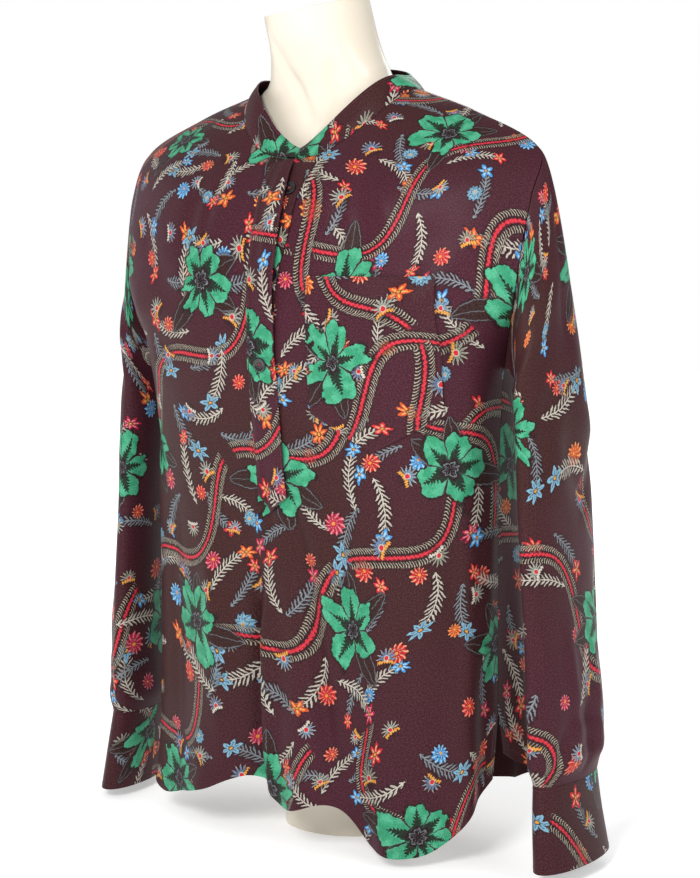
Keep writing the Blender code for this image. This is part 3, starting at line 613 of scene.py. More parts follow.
def cloth_object(name, outer, normals, flat, closed, wall):
    """A thin wall with rims: an outer face, an inner face, and its flat cut as a UV map."""
    rows, columns = outer.shape[:2]
    vertices = np.concatenate([outer.reshape(-1, 3), (outer - normals * wall).reshape(-1, 3)])
    layer = rows * columns
    ids = np.arange(layer).reshape(rows, columns)
    if closed:
        ids = shut(ids)
    edges = [(ids[0], flat[0], True), (ids[-1], flat[-1], False)]
    if not closed:
        edges += [(ids[:, 0], flat[:, 0], False), (ids[:, -1], flat[:, -1], True)]
    quads = cell_corners(ids)
    corners = cell_corners(flat)
    rims = []
    rim_flats = []
    for run, cut, turned in edges:
        pair = np.stack([run[:-1], run[1:]], axis=1)
        cuts = np.stack([cut[:-1], cut[1:]], axis=1)
        if turned:
            pair = pair[:, ::-1]
            cuts = cuts[:, ::-1]
        rims.append(np.concatenate([pair, pair[:, ::-1] + layer], axis=1))
        rim_flats.append(np.concatenate([cuts, cuts[:, ::-1]], axis=1))
    faces = np.concatenate([quads, quads[:, ::-1] + layer, *rims])
    uvs = np.concatenate([corners, corners[:, ::-1], *rim_flats])
    mesh = bpy.data.meshes.new(name)
    mesh.from_pydata(vertices.tolist(), [], faces.tolist())
    mesh.uv_layers.new(name="cloth").data.foreach_set("uv", uvs.reshape(-1))
    inside = np.zeros(len(faces), np.int32)
    inside[len(quads):2 * len(quads)] = 1
    mesh.materials.append(silk(False))
    mesh.materials.append(silk(True))
    mesh.polygons.foreach_set("material_index", inside)
    bm = bmesh.new()
    bm.from_mesh(mesh)
    if bm.calc_volume(signed=True) < 0:
        bmesh.ops.reverse_faces(bm, faces=bm.faces)
    bm.to_mesh(mesh)
    bm.free()
    mesh.shade_smooth()
    mesh.set_sharp_from_angle(angle=math.radians(60))
    return add_object(name, mesh)


def settle(piece, node):
    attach(piece, "root")
    if node:
        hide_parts(node)


def flat_area(flat):
    """The area of a flat cut, from its grid's cells."""
    first = flat[1:, 1:] - flat[:-1, :-1]
    second = flat[1:, :-1] - flat[:-1, 1:]
    return float(np.abs(first[..., 0] * second[..., 1] - first[..., 1] * second[..., 0]).sum() / 2)


def make_cloth(node, outer, normals, flat, closed=False, wall=CLOTH_WALL):
    """One cut piece, in place of the part's node, with its own place on the printed cloth."""
    piece = cloth_object("silk_" + node, outer, normals, flat + np.array(PLACES[node]), closed, wall)
    settle(piece, node)
    size = [float(np.ptp(flat[..., axis])) for axis in (0, 1)]
    area = min(flat_area(flat), size[0] * size[1])


def ring_points(table, heights, count, side):
    """Flattened rings of a sleeve, each from its outer side round by the front."""
    row = smooth_rows(table, "height", heights)
    angle = (TAU * np.arange(count) / count)[None, :]
    yaw = np.radians(row["yaw"])[:, None] * side
    out = side * row["half_thick"][:, None] * np.cos(angle)
    fore = -row["half_depth"][:, None] * np.sin(angle)
    x = row["centre_x"][:, None] + out * np.cos(yaw) + fore * np.sin(yaw)
    y = row["centre_y"][:, None] + fore * np.cos(yaw) - out * np.sin(yaw)
    z = np.broadcast_to(np.asarray(heights, float)[:, None], x.shape)
    return np.stack([x, y, z], axis=-1)


def armhole_loop(front, back, side):
    """The armhole's points and normals, from the shoulder tip down the front and up the back."""
    column = 0 if side < 0 else -1
    between = slice(UNDERARM_ROW + 1, TIP_ROW)
    both = (front.points[:, column] + back.points[:, column]) / 2
    loop = np.concatenate([
        both[[TIP_ROW]],
        front.points[between, column][::-1],
        both[[UNDERARM_ROW]],
        back.points[between, column],
    ])
    fore = front.normals[UNDERARM_ROW:TIP_ROW + 1, column][::-1]
    return loop, np.concatenate([fore, back.normals[between, column]])


def start_under_arm(rings):
    """Turns closed rings so that they start at the underarm seam."""
    return np.roll(rings, -(rings.shape[1] // 2), axis=1)


def tube_cut(rings):
    """The flat cut of a closed tube, with one column more than its rings have."""
    rings = shut(rings)
    return np.stack([run_lengths(rings, 1), run_lengths(rings[::-1], 0)[::-1]], axis=-1)


def make_sleeve(front, back, name, side, table, cuff_table, creases):
    """One sleeve with its cuff. Returns the cuff's stitch lines."""
    loop, facing = armhole_loop(front, back, side)
    count = len(loop)
    along = np.roll(loop, -1, axis=0) - np.roll(loop, 1, axis=0)
    away = unit(np.cross(facing, along)) * side
    top_ring = ring_points(table, [table[0].height], count, side)[0]
    sideways = np.abs(np.sin(TAU * np.arange(count) / count))
    drop = (loop[:, 2] - top_ring[:, 2]) * (HEAD_FALL + HEAD_SIDE_FALL * sideways)
    bend = (loop + top_ring) / 2
    bend[:, 2] = loop[:, 2] - drop
    start = loop + away * HEAD_GAP
    part = (np.arange(HEAD_RINGS + 1) / HEAD_RINGS)[:, None, None]
    head = (1 - part) ** 2 * start + 2 * part * (1 - part) * bend + part**2 * top_ring
    heights = np.linspace(table[0].height, table[-1].height, TUBE_RINGS + 1)[1:]
    rings = start_under_arm(np.concatenate([head, ring_points(table, heights, count, side)]))
    flat = tube_cut(rings)
    u, v = flat[:, :-1, 0], flat[:, :-1, 1]
    length = v[0].mean()
    fade = ease(0.0, FADE_AT_CUFF, v) * (1 - ease(length - FADE_FROM, length - FADE_TO, v))
    depth = crease_depths(u, v, creases) * fade
    rings = rings + grid_normals(rings, closed=True) * side * depth[..., None]
    normals = grid_normals(rings, closed=True) * side
    make_cloth("sleeve_" + name, rings, normals, flat, closed=True)

    heights = np.linspace(cuff_table[0].height, cuff_table[-1].height, CUFF_RINGS + 1)
    rings = start_under_arm(ring_points(cuff_table, heights, count, side))
    normals = grid_normals(rings, closed=True) * side
    make_cloth("cuff_" + name, rings, normals, tube_cut(rings),
               closed=True, wall=BAND_WALL)
    return grid_lines(shut(rings), shut(normals), rows=(1, CUFF_RINGS - 1))


def make_collar():
    """The band collar, its front ends lapped. Returns its stitch lines."""
    turn = np.linspace(BAND_UNDER_END, 360.0 - BAND_OVER_END, BAND_COLUMNS + 1)
    lap = np.where(turn < 90, 1, np.where(turn > 270, -1, 0))
    back = (lap == 0) & (turn > 90) & (turn < 270)
    across = np.where(back, (180 - turn) / 90, np.where(turn <= 90, turn / 90, (turn - 360) / 90))
    seam = np.where(back[:, None], body_points(across, 1.0, True), body_points(across, 1.0, False))
    facing = np.where(back[:, None], body_normals(across, 1.0, True), body_normals(across, 1.0, False))
    angle = np.radians(turn)
    sine, cosine = np.sin(angle), np.cos(angle)
    side_y, side_z = BAND_TOP_SIDE
    front_y, front_z = BAND_TOP_FRONT
    back_y, back_z = BAND_TOP_BACK
    rise = np.abs(sine) * np.where(sine * lap < 0, -1, 1)
    before = cosine >= 0
    z = np.where(before, front_z + (side_z - front_z) * rise, back_z + (side_z - back_z) * sine**2)
    end_y = np.where(before, front_y, back_y)
    y = side_y + (end_y - side_y) * np.abs(cosine) ** PLAN_POWER
    x = BAND_TOP_WIDTH * np.sign(sine) * np.abs(sine) ** PLAN_POWER
    top = np.stack([x, y, z], axis=-1)
    lift = (BAND_LAP * ease(BAND_LAP_FROM, BAND_LAP_FULL, turn))[:, None]
    outward = unit(seam * np.array([1.0, 1.0, 0.0]))
    seam = seam + unit(top - seam) * 2 * SEAM_GAP + facing * lift
    top = top + outward * lift
    part = (np.arange(BAND_ROWS + 1) / BAND_ROWS)[:, None, None]
    points = seam + (top - seam) * part + outward * BAND_BELLY * np.sin(math.pi * part)
    normals = grid_normals(points)
    u = np.broadcast_to(run_lengths(points[BAND_ROWS // 2:BAND_ROWS // 2 + 1], 1), points.shape[:2])
    flat = np.stack([u, run_lengths(points, 0)], axis=-1)
    make_cloth("collar_band", points, normals, flat, wall=BAND_WALL)
    return grid_lines(points, normals, rows=(1, -2))


def over_lift(x, height):
    """How far the upper strip is off the front: more where it laps and where the neck stands open."""
    lapped = ease(-PLACKET_HALF, LAP_EDGE, x)
    opened = ease(OPEN_FROM, OPEN_FULL, height) * ease(OPEN_EDGE, OPEN_FREE, x)
    return LAID_ON + (LAP_LIFT - LAID_ON) * lapped + (OPEN_LIFT - LAP_LIFT) * opened


def under_lift(x, height):
    return np.full(np.shape(x), LAID_ON)


def pocket_lift(x):
    return LAID_ON + POCKET_TURN_LIFT * ease(POCKET_TURN_FROM, POCKET_RIGHT, x)


def make_laid(front, node, x, height, lift):
    """A piece that lies on the front: a grid of x and heights, lifted off it."""
    across, way = find_on_front(x, height)
    points, normals, flat = front.read(across, way)
    points = points + normals * (lift + LAID_WALL)[..., None]
    make_cloth(node, points, normals, flat)
    return points, normals


def make_plackets(front):
    """The two strips. Returns the stitch lines of the upper one, which has a pointed foot."""
    rise = np.arange(PLACKET_ROWS + 1) / PLACKET_ROWS
    for node, edges, columns, lift_at, tip in (
        ("placket_over", OVER_EDGES, OVER_COLUMNS, over_lift, PLACKET_TIP),
        ("placket_under", UNDER_EDGES, UNDER_COLUMNS, under_lift, 0.0),
    ):
        heights = np.linspace(edges[0].height, edges[-1].height, PLACKET_ROWS + 1)
        edge = smooth_rows(edges, "height", heights)
        part = (np.arange(columns + 1) / columns)[None, :]
        x = edge["left"][:, None] + (edge["right"] - edge["left"])[:, None] * part
        height = np.broadcast_to(heights[:, None], x.shape).copy()
        reach = 1 - ease(0.0, PLACKET_TIP_REACH, rise)
        height -= tip * (1 - np.abs(2 * part - 1)) * reach[:, None]
        points, normals = make_laid(front, node, x, height, lift_at(x, height))
        if tip:
            bar = int(np.argmin(np.abs(heights - PLACKET_BAR)))
            lines = grid_lines(points, normals, columns=(1, -2), rows=(bar, 1))
    return lines


def make_pocket(front):
    """The patch pocket with its pointed foot. Returns its stitch lines."""
    part = (np.arange(POCKET_COLUMNS + 1) / POCKET_COLUMNS)[None, :]
    rise = (np.arange(POCKET_ROWS + 1) / POCKET_ROWS)[:, None]
    pointed = 1 - np.abs(2 * part - 1)
    foot = POCKET_SIDE_FOOT + (POCKET_TIP - POCKET_SIDE_FOOT) * pointed
    x = (POCKET_LEFT + (POCKET_RIGHT - POCKET_LEFT) * part) * np.ones_like(rise)
    height = foot + (POCKET_TOP - foot) * rise
    points, normals = make_laid(front, "pocket", x, height, pocket_lift(x))
    return grid_lines(points, normals, columns=(1, -2), rows=(1, POCKET_ROWS - POCKET_HEM_ROWS))


def make_body():
    front, back = Panel(False), Panel(True)
    for node, panel in (("front", front), ("back", back)):
        make_cloth(node, panel.points, panel.normals, panel.flat)
    return front, back


def body_lines(front, back):
    """Stitch lines of the body: the narrow hem and the edges of the side slits."""
    lines = []
    for panel in (front, back):
        drop = panel.flat[:, :, 1] - panel.flat[[0], :, 1]
        columns = np.arange(2, panel.points.shape[1] - 2)
        rows = np.argmax(drop > HEM_DEPTH, axis=0)[columns]
        lines.append((panel.points[rows, columns], panel.normals[rows, columns]))
        slit = slice(2, HEM_ROWS + 1)
        lines += grid_lines(panel.points[slit], panel.normals[slit], columns=(2, -3))
    return lines


def make_stitches(lines, look):
    """Short raised threads along lines of points, joined into one mesh."""
    vertices = []
    faces = []
    for points, normals in lines:
        run = np.concatenate([[0.0], np.cumsum(np.linalg.norm(np.diff(points, axis=0), axis=1))])
        count = int(run[-1] / (STITCH_LONG + STITCH_GAP))
        for step in range(count):
            low = step * (STITCH_LONG + STITCH_GAP)
            ends = []
            for reach in (low, low + STITCH_LONG):
                place = np.array([np.interp(reach, run, points[:, axis]) for axis in range(3)])
                facing = np.array([np.interp(reach, run, normals[:, axis]) for axis in range(3)])
                ends.append((place, unit(facing)))
            along = unit(ends[1][0] - ends[0][0])
            beside = unit(np.cross(ends[0][1], along)) * STITCH_HALF
            base = len(vertices)
            for place, facing in ends:
                vertices.append(place + beside - facing * STITCH_HALF)
                vertices.append(place + facing * STITCH_HALF * STITCH_RISE)
                vertices.append(place - beside - facing * STITCH_HALF)
            faces += [(base, base + 1, base + 4, base + 3), (base + 1, base + 2, base + 5, base + 4),
                      (base + 2, base, base + 3, base + 5), (base + 2, base + 1, base),
                      (base + 3, base + 4, base + 5)]
    mesh = bpy.data.meshes.new("topstitching")
    mesh.from_pydata([tuple(point) for point in vertices], [], faces)
    mesh.materials.append(look)
    settle(add_object("topstitching", mesh), None)


def turned_mesh(name, profile, sides):
    """A closed turned mesh about Z. The profile runs from the axis at the top to the axis below."""
    vertices = [(0.0, 0.0, profile[0][1])]
    for radius, rise in profile[1:-1]:
        for step in range(sides):
            angle = TAU * step / sides
            vertices.append((radius * math.cos(angle), radius * math.sin(angle), rise))
    vertices.append((0.0, 0.0, profile[-1][1]))
    faces = []
    rings = len(profile) - 2
    for step in range(sides):
        beside = (step + 1) % sides
        faces.append((0, 1 + step, 1 + beside))
        for ring in range(rings - 1):
            low = 1 + ring * sides
            faces.append((low + step, low + sides + step, low + sides + beside, low + beside))
        last = 1 + (rings - 1) * sides
        faces.append((last + step, len(vertices) - 1, last + beside))
    mesh = bpy.data.meshes.new(name)
    mesh.from_pydata(vertices, [], faces)
    return mesh


def hole_place(step):
    """The place of one of a button's holes on its face."""
    angle = math.pi / 4 + step * TAU / BUTTON_HOLES
    return BUTTON_HOLE_AWAY * math.cos(angle), BUTTON_HOLE_AWAY * math.sin(angle)


def button_object(name, look):
    """One button, lying flat at the origin, with its holes cut."""
    profile = [(BUTTON_RADIUS * out, BUTTON_THICK * rise) for out, rise in BUTTON_PROFILE]
    mesh = turned_mesh(name, profile, BUTTON_SIDES)
    bm = bmesh.new()
    bm.from_mesh(mesh)
    bmesh.ops.recalc_face_normals(bm, faces=bm.faces)
    bm.to_mesh(mesh)
    bm.free()
    mesh.materials.append(look)
    made = add_object(name, mesh)
    holes = []
    for step in range(BUTTON_HOLES):
        bpy.ops.mesh.primitive_cylinder_add(
            vertices=BUTTON_HOLE_SIDES, radius=BUTTON_HOLE_RADIUS, depth=2 * BUTTON_THICK
        )
        hole = bpy.context.object
        hole.location = (*hole_place(step), BUTTON_THICK * 1.15)
        cut = made.modifiers.new(f"hole_{step}", "BOOLEAN")
        cut.object = hole
        cut.operation = "DIFFERENCE"
        holes.append(hole)
    bpy.context.view_layer.update()
    done = bpy.data.meshes.new_from_object(made.evaluated_get(bpy.context.evaluated_depsgraph_get()))
    made.modifiers.clear()
    made.data = done
    for hole in holes:
        bpy.data.objects.remove(hole, do_unlink=True)
    made.data.shade_smooth()
    made.data.set_sharp_from_angle(angle=math.radians(35))
    return made


def make_buttons(front, button_look, thread_look):
    """The buttons with their threads, each square to the cloth under it."""
    for number, button in enumerate(BUTTONS, 1):
        across, way = find_on_front([button.x], [button.height])
        seat, normal, _ = front.read(across, way)
        normal = Vector(normal[0])
        made = button_object(f"button_{number}_fine", button_look)
        threads = thread_bars(f"button_{number}_thread", thread_look)
        for piece, node in ((made, f"button_{number}"), (threads, None)):
            piece.location = Vector(seat[0]) + normal * button.lift
            piece.rotation_mode = "QUATERNION"
            piece.rotation_quaternion = normal.to_track_quat("Z", "Y")
            settle(piece, node)


def thread_bars(name, look):
    """Two strands that cross the button from hole to hole."""
    curve = bpy.data.curves.new(name, "CURVE")
    curve.dimensions = "3D"
    curve.bevel_depth = THREAD_RADIUS
    curve.bevel_resolution = 3
    curve.use_fill_caps = True
    for start in (0, 1):
        first, last = hole_place(start), hole_place(start + 2)
        spline = curve.splines.new("POLY")
        spline.points.add(THREAD_STEPS)
        for step, point in enumerate(spline.points):
            part = step / THREAD_STEPS
            x = first[0] * (1 - part) + last[0] * part
            y = first[1] * (1 - part) + last[1] * part
            rise = 0.34 + 0.52 * max(math.sin(math.pi * part), 0.0) ** 0.4
            point.co = (x, y, BUTTON_THICK * rise, 1)
    curve.materials.append(look)
    return add_object(name, curve)


def make_form(look):
    """The limbless torso with its grooved neck, cut at a slope."""
    heights = np.linspace(0.0, FORM[-1].height, FORM_ROWS + 1)
    ring = smooth_rows(FORM, "height", heights)
    middle = ((ring["front_y"] + ring["back_y"]) / 2)[:, None]
    half_depth = ((ring["back_y"] - ring["front_y"]) / 2)[:, None]
    angle = (TAU * np.arange(FORM_COLUMNS) / FORM_COLUMNS)[None, :]
    point = ring["point"][:, None]
    x = ring["half_width"][:, None] * np.sign(np.sin(angle)) * np.abs(np.sin(angle)) ** point
    y = middle - half_depth * np.sign(np.cos(angle)) * np.abs(np.cos(angle)) ** point
    tip = CAP_SLOPE_ACROSS * x + CAP_SLOPE_ALONG * (y - middle)
    tip = tip * ease(CAP_FROM, FORM[-1].height, heights)[:, None]
    z = heights[:, None] + tip
    for groove in NECK_GROOVES:
        run = np.array([groove.x1 - groove.x0, groove.z1 - groove.z0])
        part = ((x - groove.x0) * run[0] + (z - groove.z0) * run[1]) / (run @ run)
        part = np.clip(part, 0, 1)
        away = np.hypot(x - groove.x0 - part * run[0], z - groove.z0 - part * run[1])
        y = y + groove.depth * np.exp(-(away / groove.width) ** 2) * (y < middle)
    points = np.stack([x, y, z], axis=-1)
    ids = np.arange((FORM_ROWS + 1) * FORM_COLUMNS).reshape(-1, FORM_COLUMNS)
    faces = cell_corners(shut(ids)).tolist() + [ids[0, ::-1].tolist(), ids[-1].tolist()]
    mesh = bpy.data.meshes.new("torso_form_smooth")
    mesh.from_pydata(points.reshape(-1, 3).tolist(), [], faces)
    mesh.materials.append(look)
    mesh.shade_smooth()
    mesh.set_sharp_from_angle(angle=math.radians(40))
    settle(add_object("torso_form_smooth", mesh), "torso_form")


def shade(red, green, blue):
    """A colour named by its 8-bit screen values, as the linear values that shaders take."""
    linear = []
    for value in (red, green, blue):
        value /= 255
        linear.append(value / 12.92 if value <= 0.04045 else ((value + 0.055) / 1.055) ** 2.4)
    return (*linear, 1.0)


def set_inputs(tree, node, values):
    """Gives a node's inputs plain values, or links them to fields or to other nodes' outputs."""
    for key, value in values.items():
        if isinstance(value, Field):
            value = value.socket
        if isinstance(value, bpy.types.NodeSocket):
            tree.links.new(value, node.inputs[key])
        else:
            node.inputs[key].default_value = value


def add_node(tree, kind, values, **settings):
    node = tree.nodes.new("ShaderNode" + kind)
    for name, setting in settings.items():
        setattr(node, name, setting)
    set_inputs(tree, node, values)
    return node


class Field:
    """A number at each point of a surface, worked out by shader nodes."""

    def __init__(self, tree, socket):
        self.tree = tree
        self.socket = socket

    def join(self, operation, *others):
        node = add_node(self.tree, "Math", dict(enumerate((self, *others))), operation=operation)
        return Field(self.tree, node.outputs[0])

    def __add__(self, other):
        return self.join("ADD", other)

    def __sub__(self, other):
        return self.join("SUBTRACT", other)

    def __rsub__(self, other):
        return (self * -1) + other

    def __mul__(self, other):
        return self.join("MULTIPLY", other)

    def __truediv__(self, other):
        return self.join("DIVIDE", other)

    __radd__ = __add__
    __rmul__ = __mul__

    def power(self, other):
        return self.join("POWER", other)

    def most(self, other):
        return self.join("MAXIMUM", other)

    def size(self):
        return self.join("ABSOLUTE")

    def floor(self):
        return self.join("FLOOR")

    def part(self):
        return self.join("FRACT")

    def sine(self):
        return self.join("SINE")

    def cosine(self):
        return self.join("COSINE")

    def zigzag(self):
        """0 in the middle of each whole step and a half at its ends."""
        return (self.part() - 0.5).size()

    def over(self, limit, soft=0.0003):
        """1 where the number is over the limit, with a soft edge."""
        values = {"Value": self, "From Min": limit + -soft, "From Max": limit + soft}
        return Field(self.tree, add_node(self.tree, "MapRange", values).outputs[0])

    def under(self, limit, soft=0.0003):
        return 1 - self.over(limit, soft)


def vector(u, v, third):
    return add_node(u.tree, "CombineXYZ", {0: u, 1: v, 2: third}).outputs[0]


def chance(u, v, seed):
    """Three even chances for each whole-numbered place."""
    node = add_node(u.tree, "TexWhiteNoise", {"Vector": vector(u, v, seed)}, noise_dimensions="3D")
    apart = add_node(u.tree, "SeparateColor", {0: node.outputs["Color"]})
    return [Field(u.tree, apart.outputs[index]) for index in range(3)]


def cloud(u, v, scale, detail=2.0, seed=0.0):
    """Soft noise over the cut, from 0 to 1."""
    values = {"Scale": scale, "Detail": detail, "Vector": vector(u, v, seed)}
    return Field(u.tree, add_node(u.tree, "TexNoise", values).outputs["Fac"])


def scattered(u, v, wide, high, seed, wander):
    """Each place's offset from the middle of its cell in brick rows, turned and moved at random."""
    row = (v / high).floor()
    column_place = u / wide + (row * 0.5).part()
    column = column_place.floor()
    first, second, third = chance(column, row, seed)
    x = (column_place.part() - 0.5 - (first - 0.5) * wander) * wide
    y = ((v / high).part() - 0.5 - (second - 0.5) * wander) * high
    turn = third * TAU
    cosine, sine = turn.cosine(), turn.sine()
    return x * cosine + y * sine, y * cosine - x * sine, chance(column, row, seed + 7.3)


class Paint:
    """Colours laid one over another."""

    def __init__(self, tree, first):
        self.tree = tree
        self.colour = first

    def lay(self, colour, mask):
        values = {"Factor": mask, 6: self.colour, 7: colour}
        self.colour = add_node(self.tree, "Mix", values, data_type="RGBA").outputs[2]


def pick(amount, colours):
    """One of several colours, by a number from 0 to 1."""
    ramp = add_node(amount.tree, "ValToRGB", {0: amount})
    ramp.color_ramp.interpolation = "CONSTANT"
    while len(ramp.color_ramp.elements) < len(colours):
        ramp.color_ramp.elements.new(1.0)
    for index, colour in enumerate(colours):
        ramp.color_ramp.elements[index].position = index / len(colours)
        ramp.color_ramp.elements[index].color = colour
    return ramp.outputs[0]


CREAM = shade(200, 194, 180)
PALE = shade(128, 140, 146)
COMMA = shade(178, 172, 152)
CORAL = shade(206, 48, 62)
CORAL_DARK = shade(96, 14, 28)
GREEN = shade(44, 148, 108)
GREEN_PALE = shade(86, 184, 144)
GREEN_DARK = shade(12, 42, 30)
# A darker brown copy of the plum ground, laid in broad random patches as painted shade.
PLUM = shade(64, 22, 38)
PAINTED_SHADE_BROWN = shade(54, 24, 23)
DARK = shade(22, 11, 15)
LEAF_BROWN = shade(42, 23, 20)
WEAVE_LIGHT = shade(196, 150, 150)
GOLD = shade(216, 150, 62)
INSIDE = shade(48, 24, 30)
INSIDE_SHARE = 0.62
SHEEN_TINT = (0.72, 0.42, 0.62, 1)
REDS = (shade(198, 34, 42), shade(62, 140, 196), shade(178, 26, 64), shade(206, 84, 40),
        shade(188, 30, 40), shade(120, 168, 190))
STREAKS = (shade(240, 176, 140), shade(190, 224, 236), shade(236, 170, 170), shade(246, 196, 110),
           shade(240, 200, 150), shade(34, 58, 92))
SPIKES = (shade(70, 108, 150), shade(140, 148, 138), shade(96, 138, 168), shade(120, 128, 110))
# The print's edges waver as if drawn by hand.
HAND_SCALE = 300.0
HAND_SWAY = 0.0024
WEAVE_SCALE = 800.0
TWILL_PITCH = 0.0011
TWILL_HEIGHT = 0.00001
RIPPLE_HEIGHT = 0.0044
GRAIN_HEIGHT = 0.0005


def polar(x, y):
    return (x * x + y * y).power(0.5), y.join("ARCTAN2", x)


def lay_sprig(paint, u, v, seed, cell, long, leaf, share, colour, bow):
    """A bowed stem with pairs of slender leaflets and a small pointed flower at its tip."""
    x, y, luck = scattered(u, v, cell, cell, seed, wander=0.12)
    there = luck[0].under(share, 0.001)
    y = y + x * x * bow - 0.004
    side = y.size()
    lean = x - side * 0.95
    reach = lean / (long / 2)
    body = (1 - reach * reach).most(0.0).power(0.5) * (luck[1] * 0.3 + 0.8)
    pitch = leaf * 0.56
    uneven = ((lean / pitch).floor() * 2.4 + luck[2] * 9.0).sine() * 0.16 + 0.88
    length = body * uneven * leaf
    along = side / length.most(0.0004)
    bead = (lean / pitch).zigzag()
    width = (along * (1 - along)).most(0.0).power(0.7) * 0.62
    inside = along.under(1.0, 0.04) * there * body.over(0.15, 0.05)
    paint.lay(DARK, side.under(length + 0.0012, 0.0012) * body.over(0.1, 0.1) * there * 0.55)
    leaves = width.over(bead + 0.02, 0.05) * inside
    stem = side.under(0.00055) * x.size().under(long * 0.46) * there
    paint.lay(colour, stem.most(leaves))
    crease = bead.under(0.05, 0.03) * inside * along.over(0.25, 0.1) * along.under(0.85, 0.1)
    paint.lay(DARK, crease * 0.5)
    lay_star(paint, x - long * 0.47, y, luck, there, 0.0068, 0.0100)


def lay_star(paint, x, y, luck, there, small, large):
    """A small flower of pointed petals, with a streak on each and an eye."""
    radius, angle = polar(x, y)
    size = luck[1] * (large - small) + small
    petals = (luck[2] * 3).floor() + 5
    place = (angle + luck[0] * 9.0) * petals / TAU
    split = place.zigzag()
    edge = size * ((0.5 - split) * 1.7).power(0.8) + size * 0.34
    paint.lay(DARK, radius.under(edge + 0.0016, 0.0009) * there * 0.7)
    flower = radius.under(edge) * there
    paint.lay(pick(luck[1], REDS), flower)
    streak = (split * radius * (TAU / 6)).under(0.0007, 0.0003) * radius.under(size * 0.8)
    paint.lay(pick(luck[1], STREAKS), streak * flower * 0.6)
    paint.lay(DARK, radius.under(size * 0.27) * there)
    paint.lay(GOLD, radius.under(size * 0.17) * there)


def lay_spikes(paint, u, v, seed, cell, small, large, share):
    """Half stars of thin spikes round a red eye, each over a bowed gold comb."""
    x, y, luck = scattered(u, v, cell, cell, seed, wander=0.4)
    there = luck[0].under(share, 0.001)
    radius, angle = polar(x, y)
    size = luck[1] * (large - small) + small
    opened = angle.size().under(1.75, 0.05)
    frill = (angle * (13 / TAU)).zigzag()
    edge = size * (1.08 - frill * 1.75)
    paint.lay(DARK, radius.under(size * 0.95, 0.002) * there * 0.55)
    spike = radius.under(edge) * opened * there
    paint.lay(CREAM, spike * 0.9)
    paint.lay(pick(luck[2], SPIKES), radius.under(edge - 0.0011) * opened * there)
    arc = x + y * y * 26.0 + 0.0030
    teeth = (y / 0.0026).zigzag().under(0.3, 0.1) * 0.0012 + 0.0006
    comb = arc.size().under(teeth) * y.size().under(size * 0.85)
    paint.lay(pick(luck[1], (GOLD, CREAM, GOLD, GOLD)), comb * there)
    paint.lay(CREAM, radius.under(size * 0.30) * there * 0.8)
    paint.lay(REDS[0], radius.under(size * 0.22) * there)


def lay_bloom(paint, u, v, seed, cell, small, large, share):
    """Small full blooms of frilled petals in two ranks."""
    x, y, luck = scattered(u, v, cell, cell, seed, wander=0.4)
    there = luck[0].under(share, 0.001)
    radius, angle = polar(x, y)
    size = luck[1] * (large - small) + small
    frill = (angle * (11 / TAU) + radius * 60).zigzag()
    edge = size * (1.0 - frill * 0.62) + (angle - 0.5).cosine() * size * 0.16
    paint.lay(DARK, radius.under(edge + 0.0016, 0.001) * there * 0.7)
    bloom = radius.under(edge) * there
    paint.lay(pick(luck[2], REDS), bloom)
    streak = frill.under(0.13, 0.06) * radius.over(size * 0.30) * bloom
    paint.lay(pick(luck[2], STREAKS), streak * 0.6)
    inner = (angle * (7 / TAU)).zigzag()
    rank = (radius - size * (0.62 - inner * 0.5)).size().under(0.0004, 0.0002)
    paint.lay(DARK, rank * bloom * 0.8)
    paint.lay(GOLD, radius.under(size * 0.16) * bloom)


def lay_meander(paint, u, v, turn, spacing, wave, swing, seed, share):
    """Snaking beaded coral stems between two rows of cream commas."""
    cosine, sine = math.cos(turn), math.sin(turn)
    p = u * cosine + v * sine
    q = v * cosine - u * sine
    lane = (q / spacing).floor()
    luck = chance(lane, 1.0, seed)
    phase = p * (TAU / wave) + luck[0] * TAU
    line = phase.sine() * swing + (phase * 0.47 + luck[1] * 6.0).sine() * (swing * 0.45)
    slope = phase.cosine() * (swing * TAU / wave)
    steep = (slope * slope + 1).power(0.5)
    off = (((q / spacing).part() - 0.5) * spacing - line) / steep
    run = p * 1.2 + (phase * 2).sine() * (wave * 0.012)
    segment = p / (wave * 1.6) + luck[2] * 9.0
    piece = chance(segment.floor(), lane, seed + 3.1)
    end = segment.zigzag().under(0.47, 0.006)
    there = piece[0].under(share, 0.001) * end
    away = off.size()
    paint.lay(DARK, away.under(0.0098, 0.0016) * there * 0.72)
    beads = (run * (math.pi / 0.0046)).sine().size().power(0.8)
    paint.lay(CORAL_DARK, away.under(0.0019) * there)
    paint.lay(CORAL, away.under(beads * 0.0015 + 0.0002) * there)
    hook = (away - 0.0061).power(2.0) * 140.0
    comb = ((run + hook + away * 0.25) / 0.0029).zigzag()
    tick = (away * 12.0 + 0.080).over(comb, 0.06)
    paint.lay(COMMA, tick * away.over(0.0036) * away.under(0.0087) * there * 0.9)


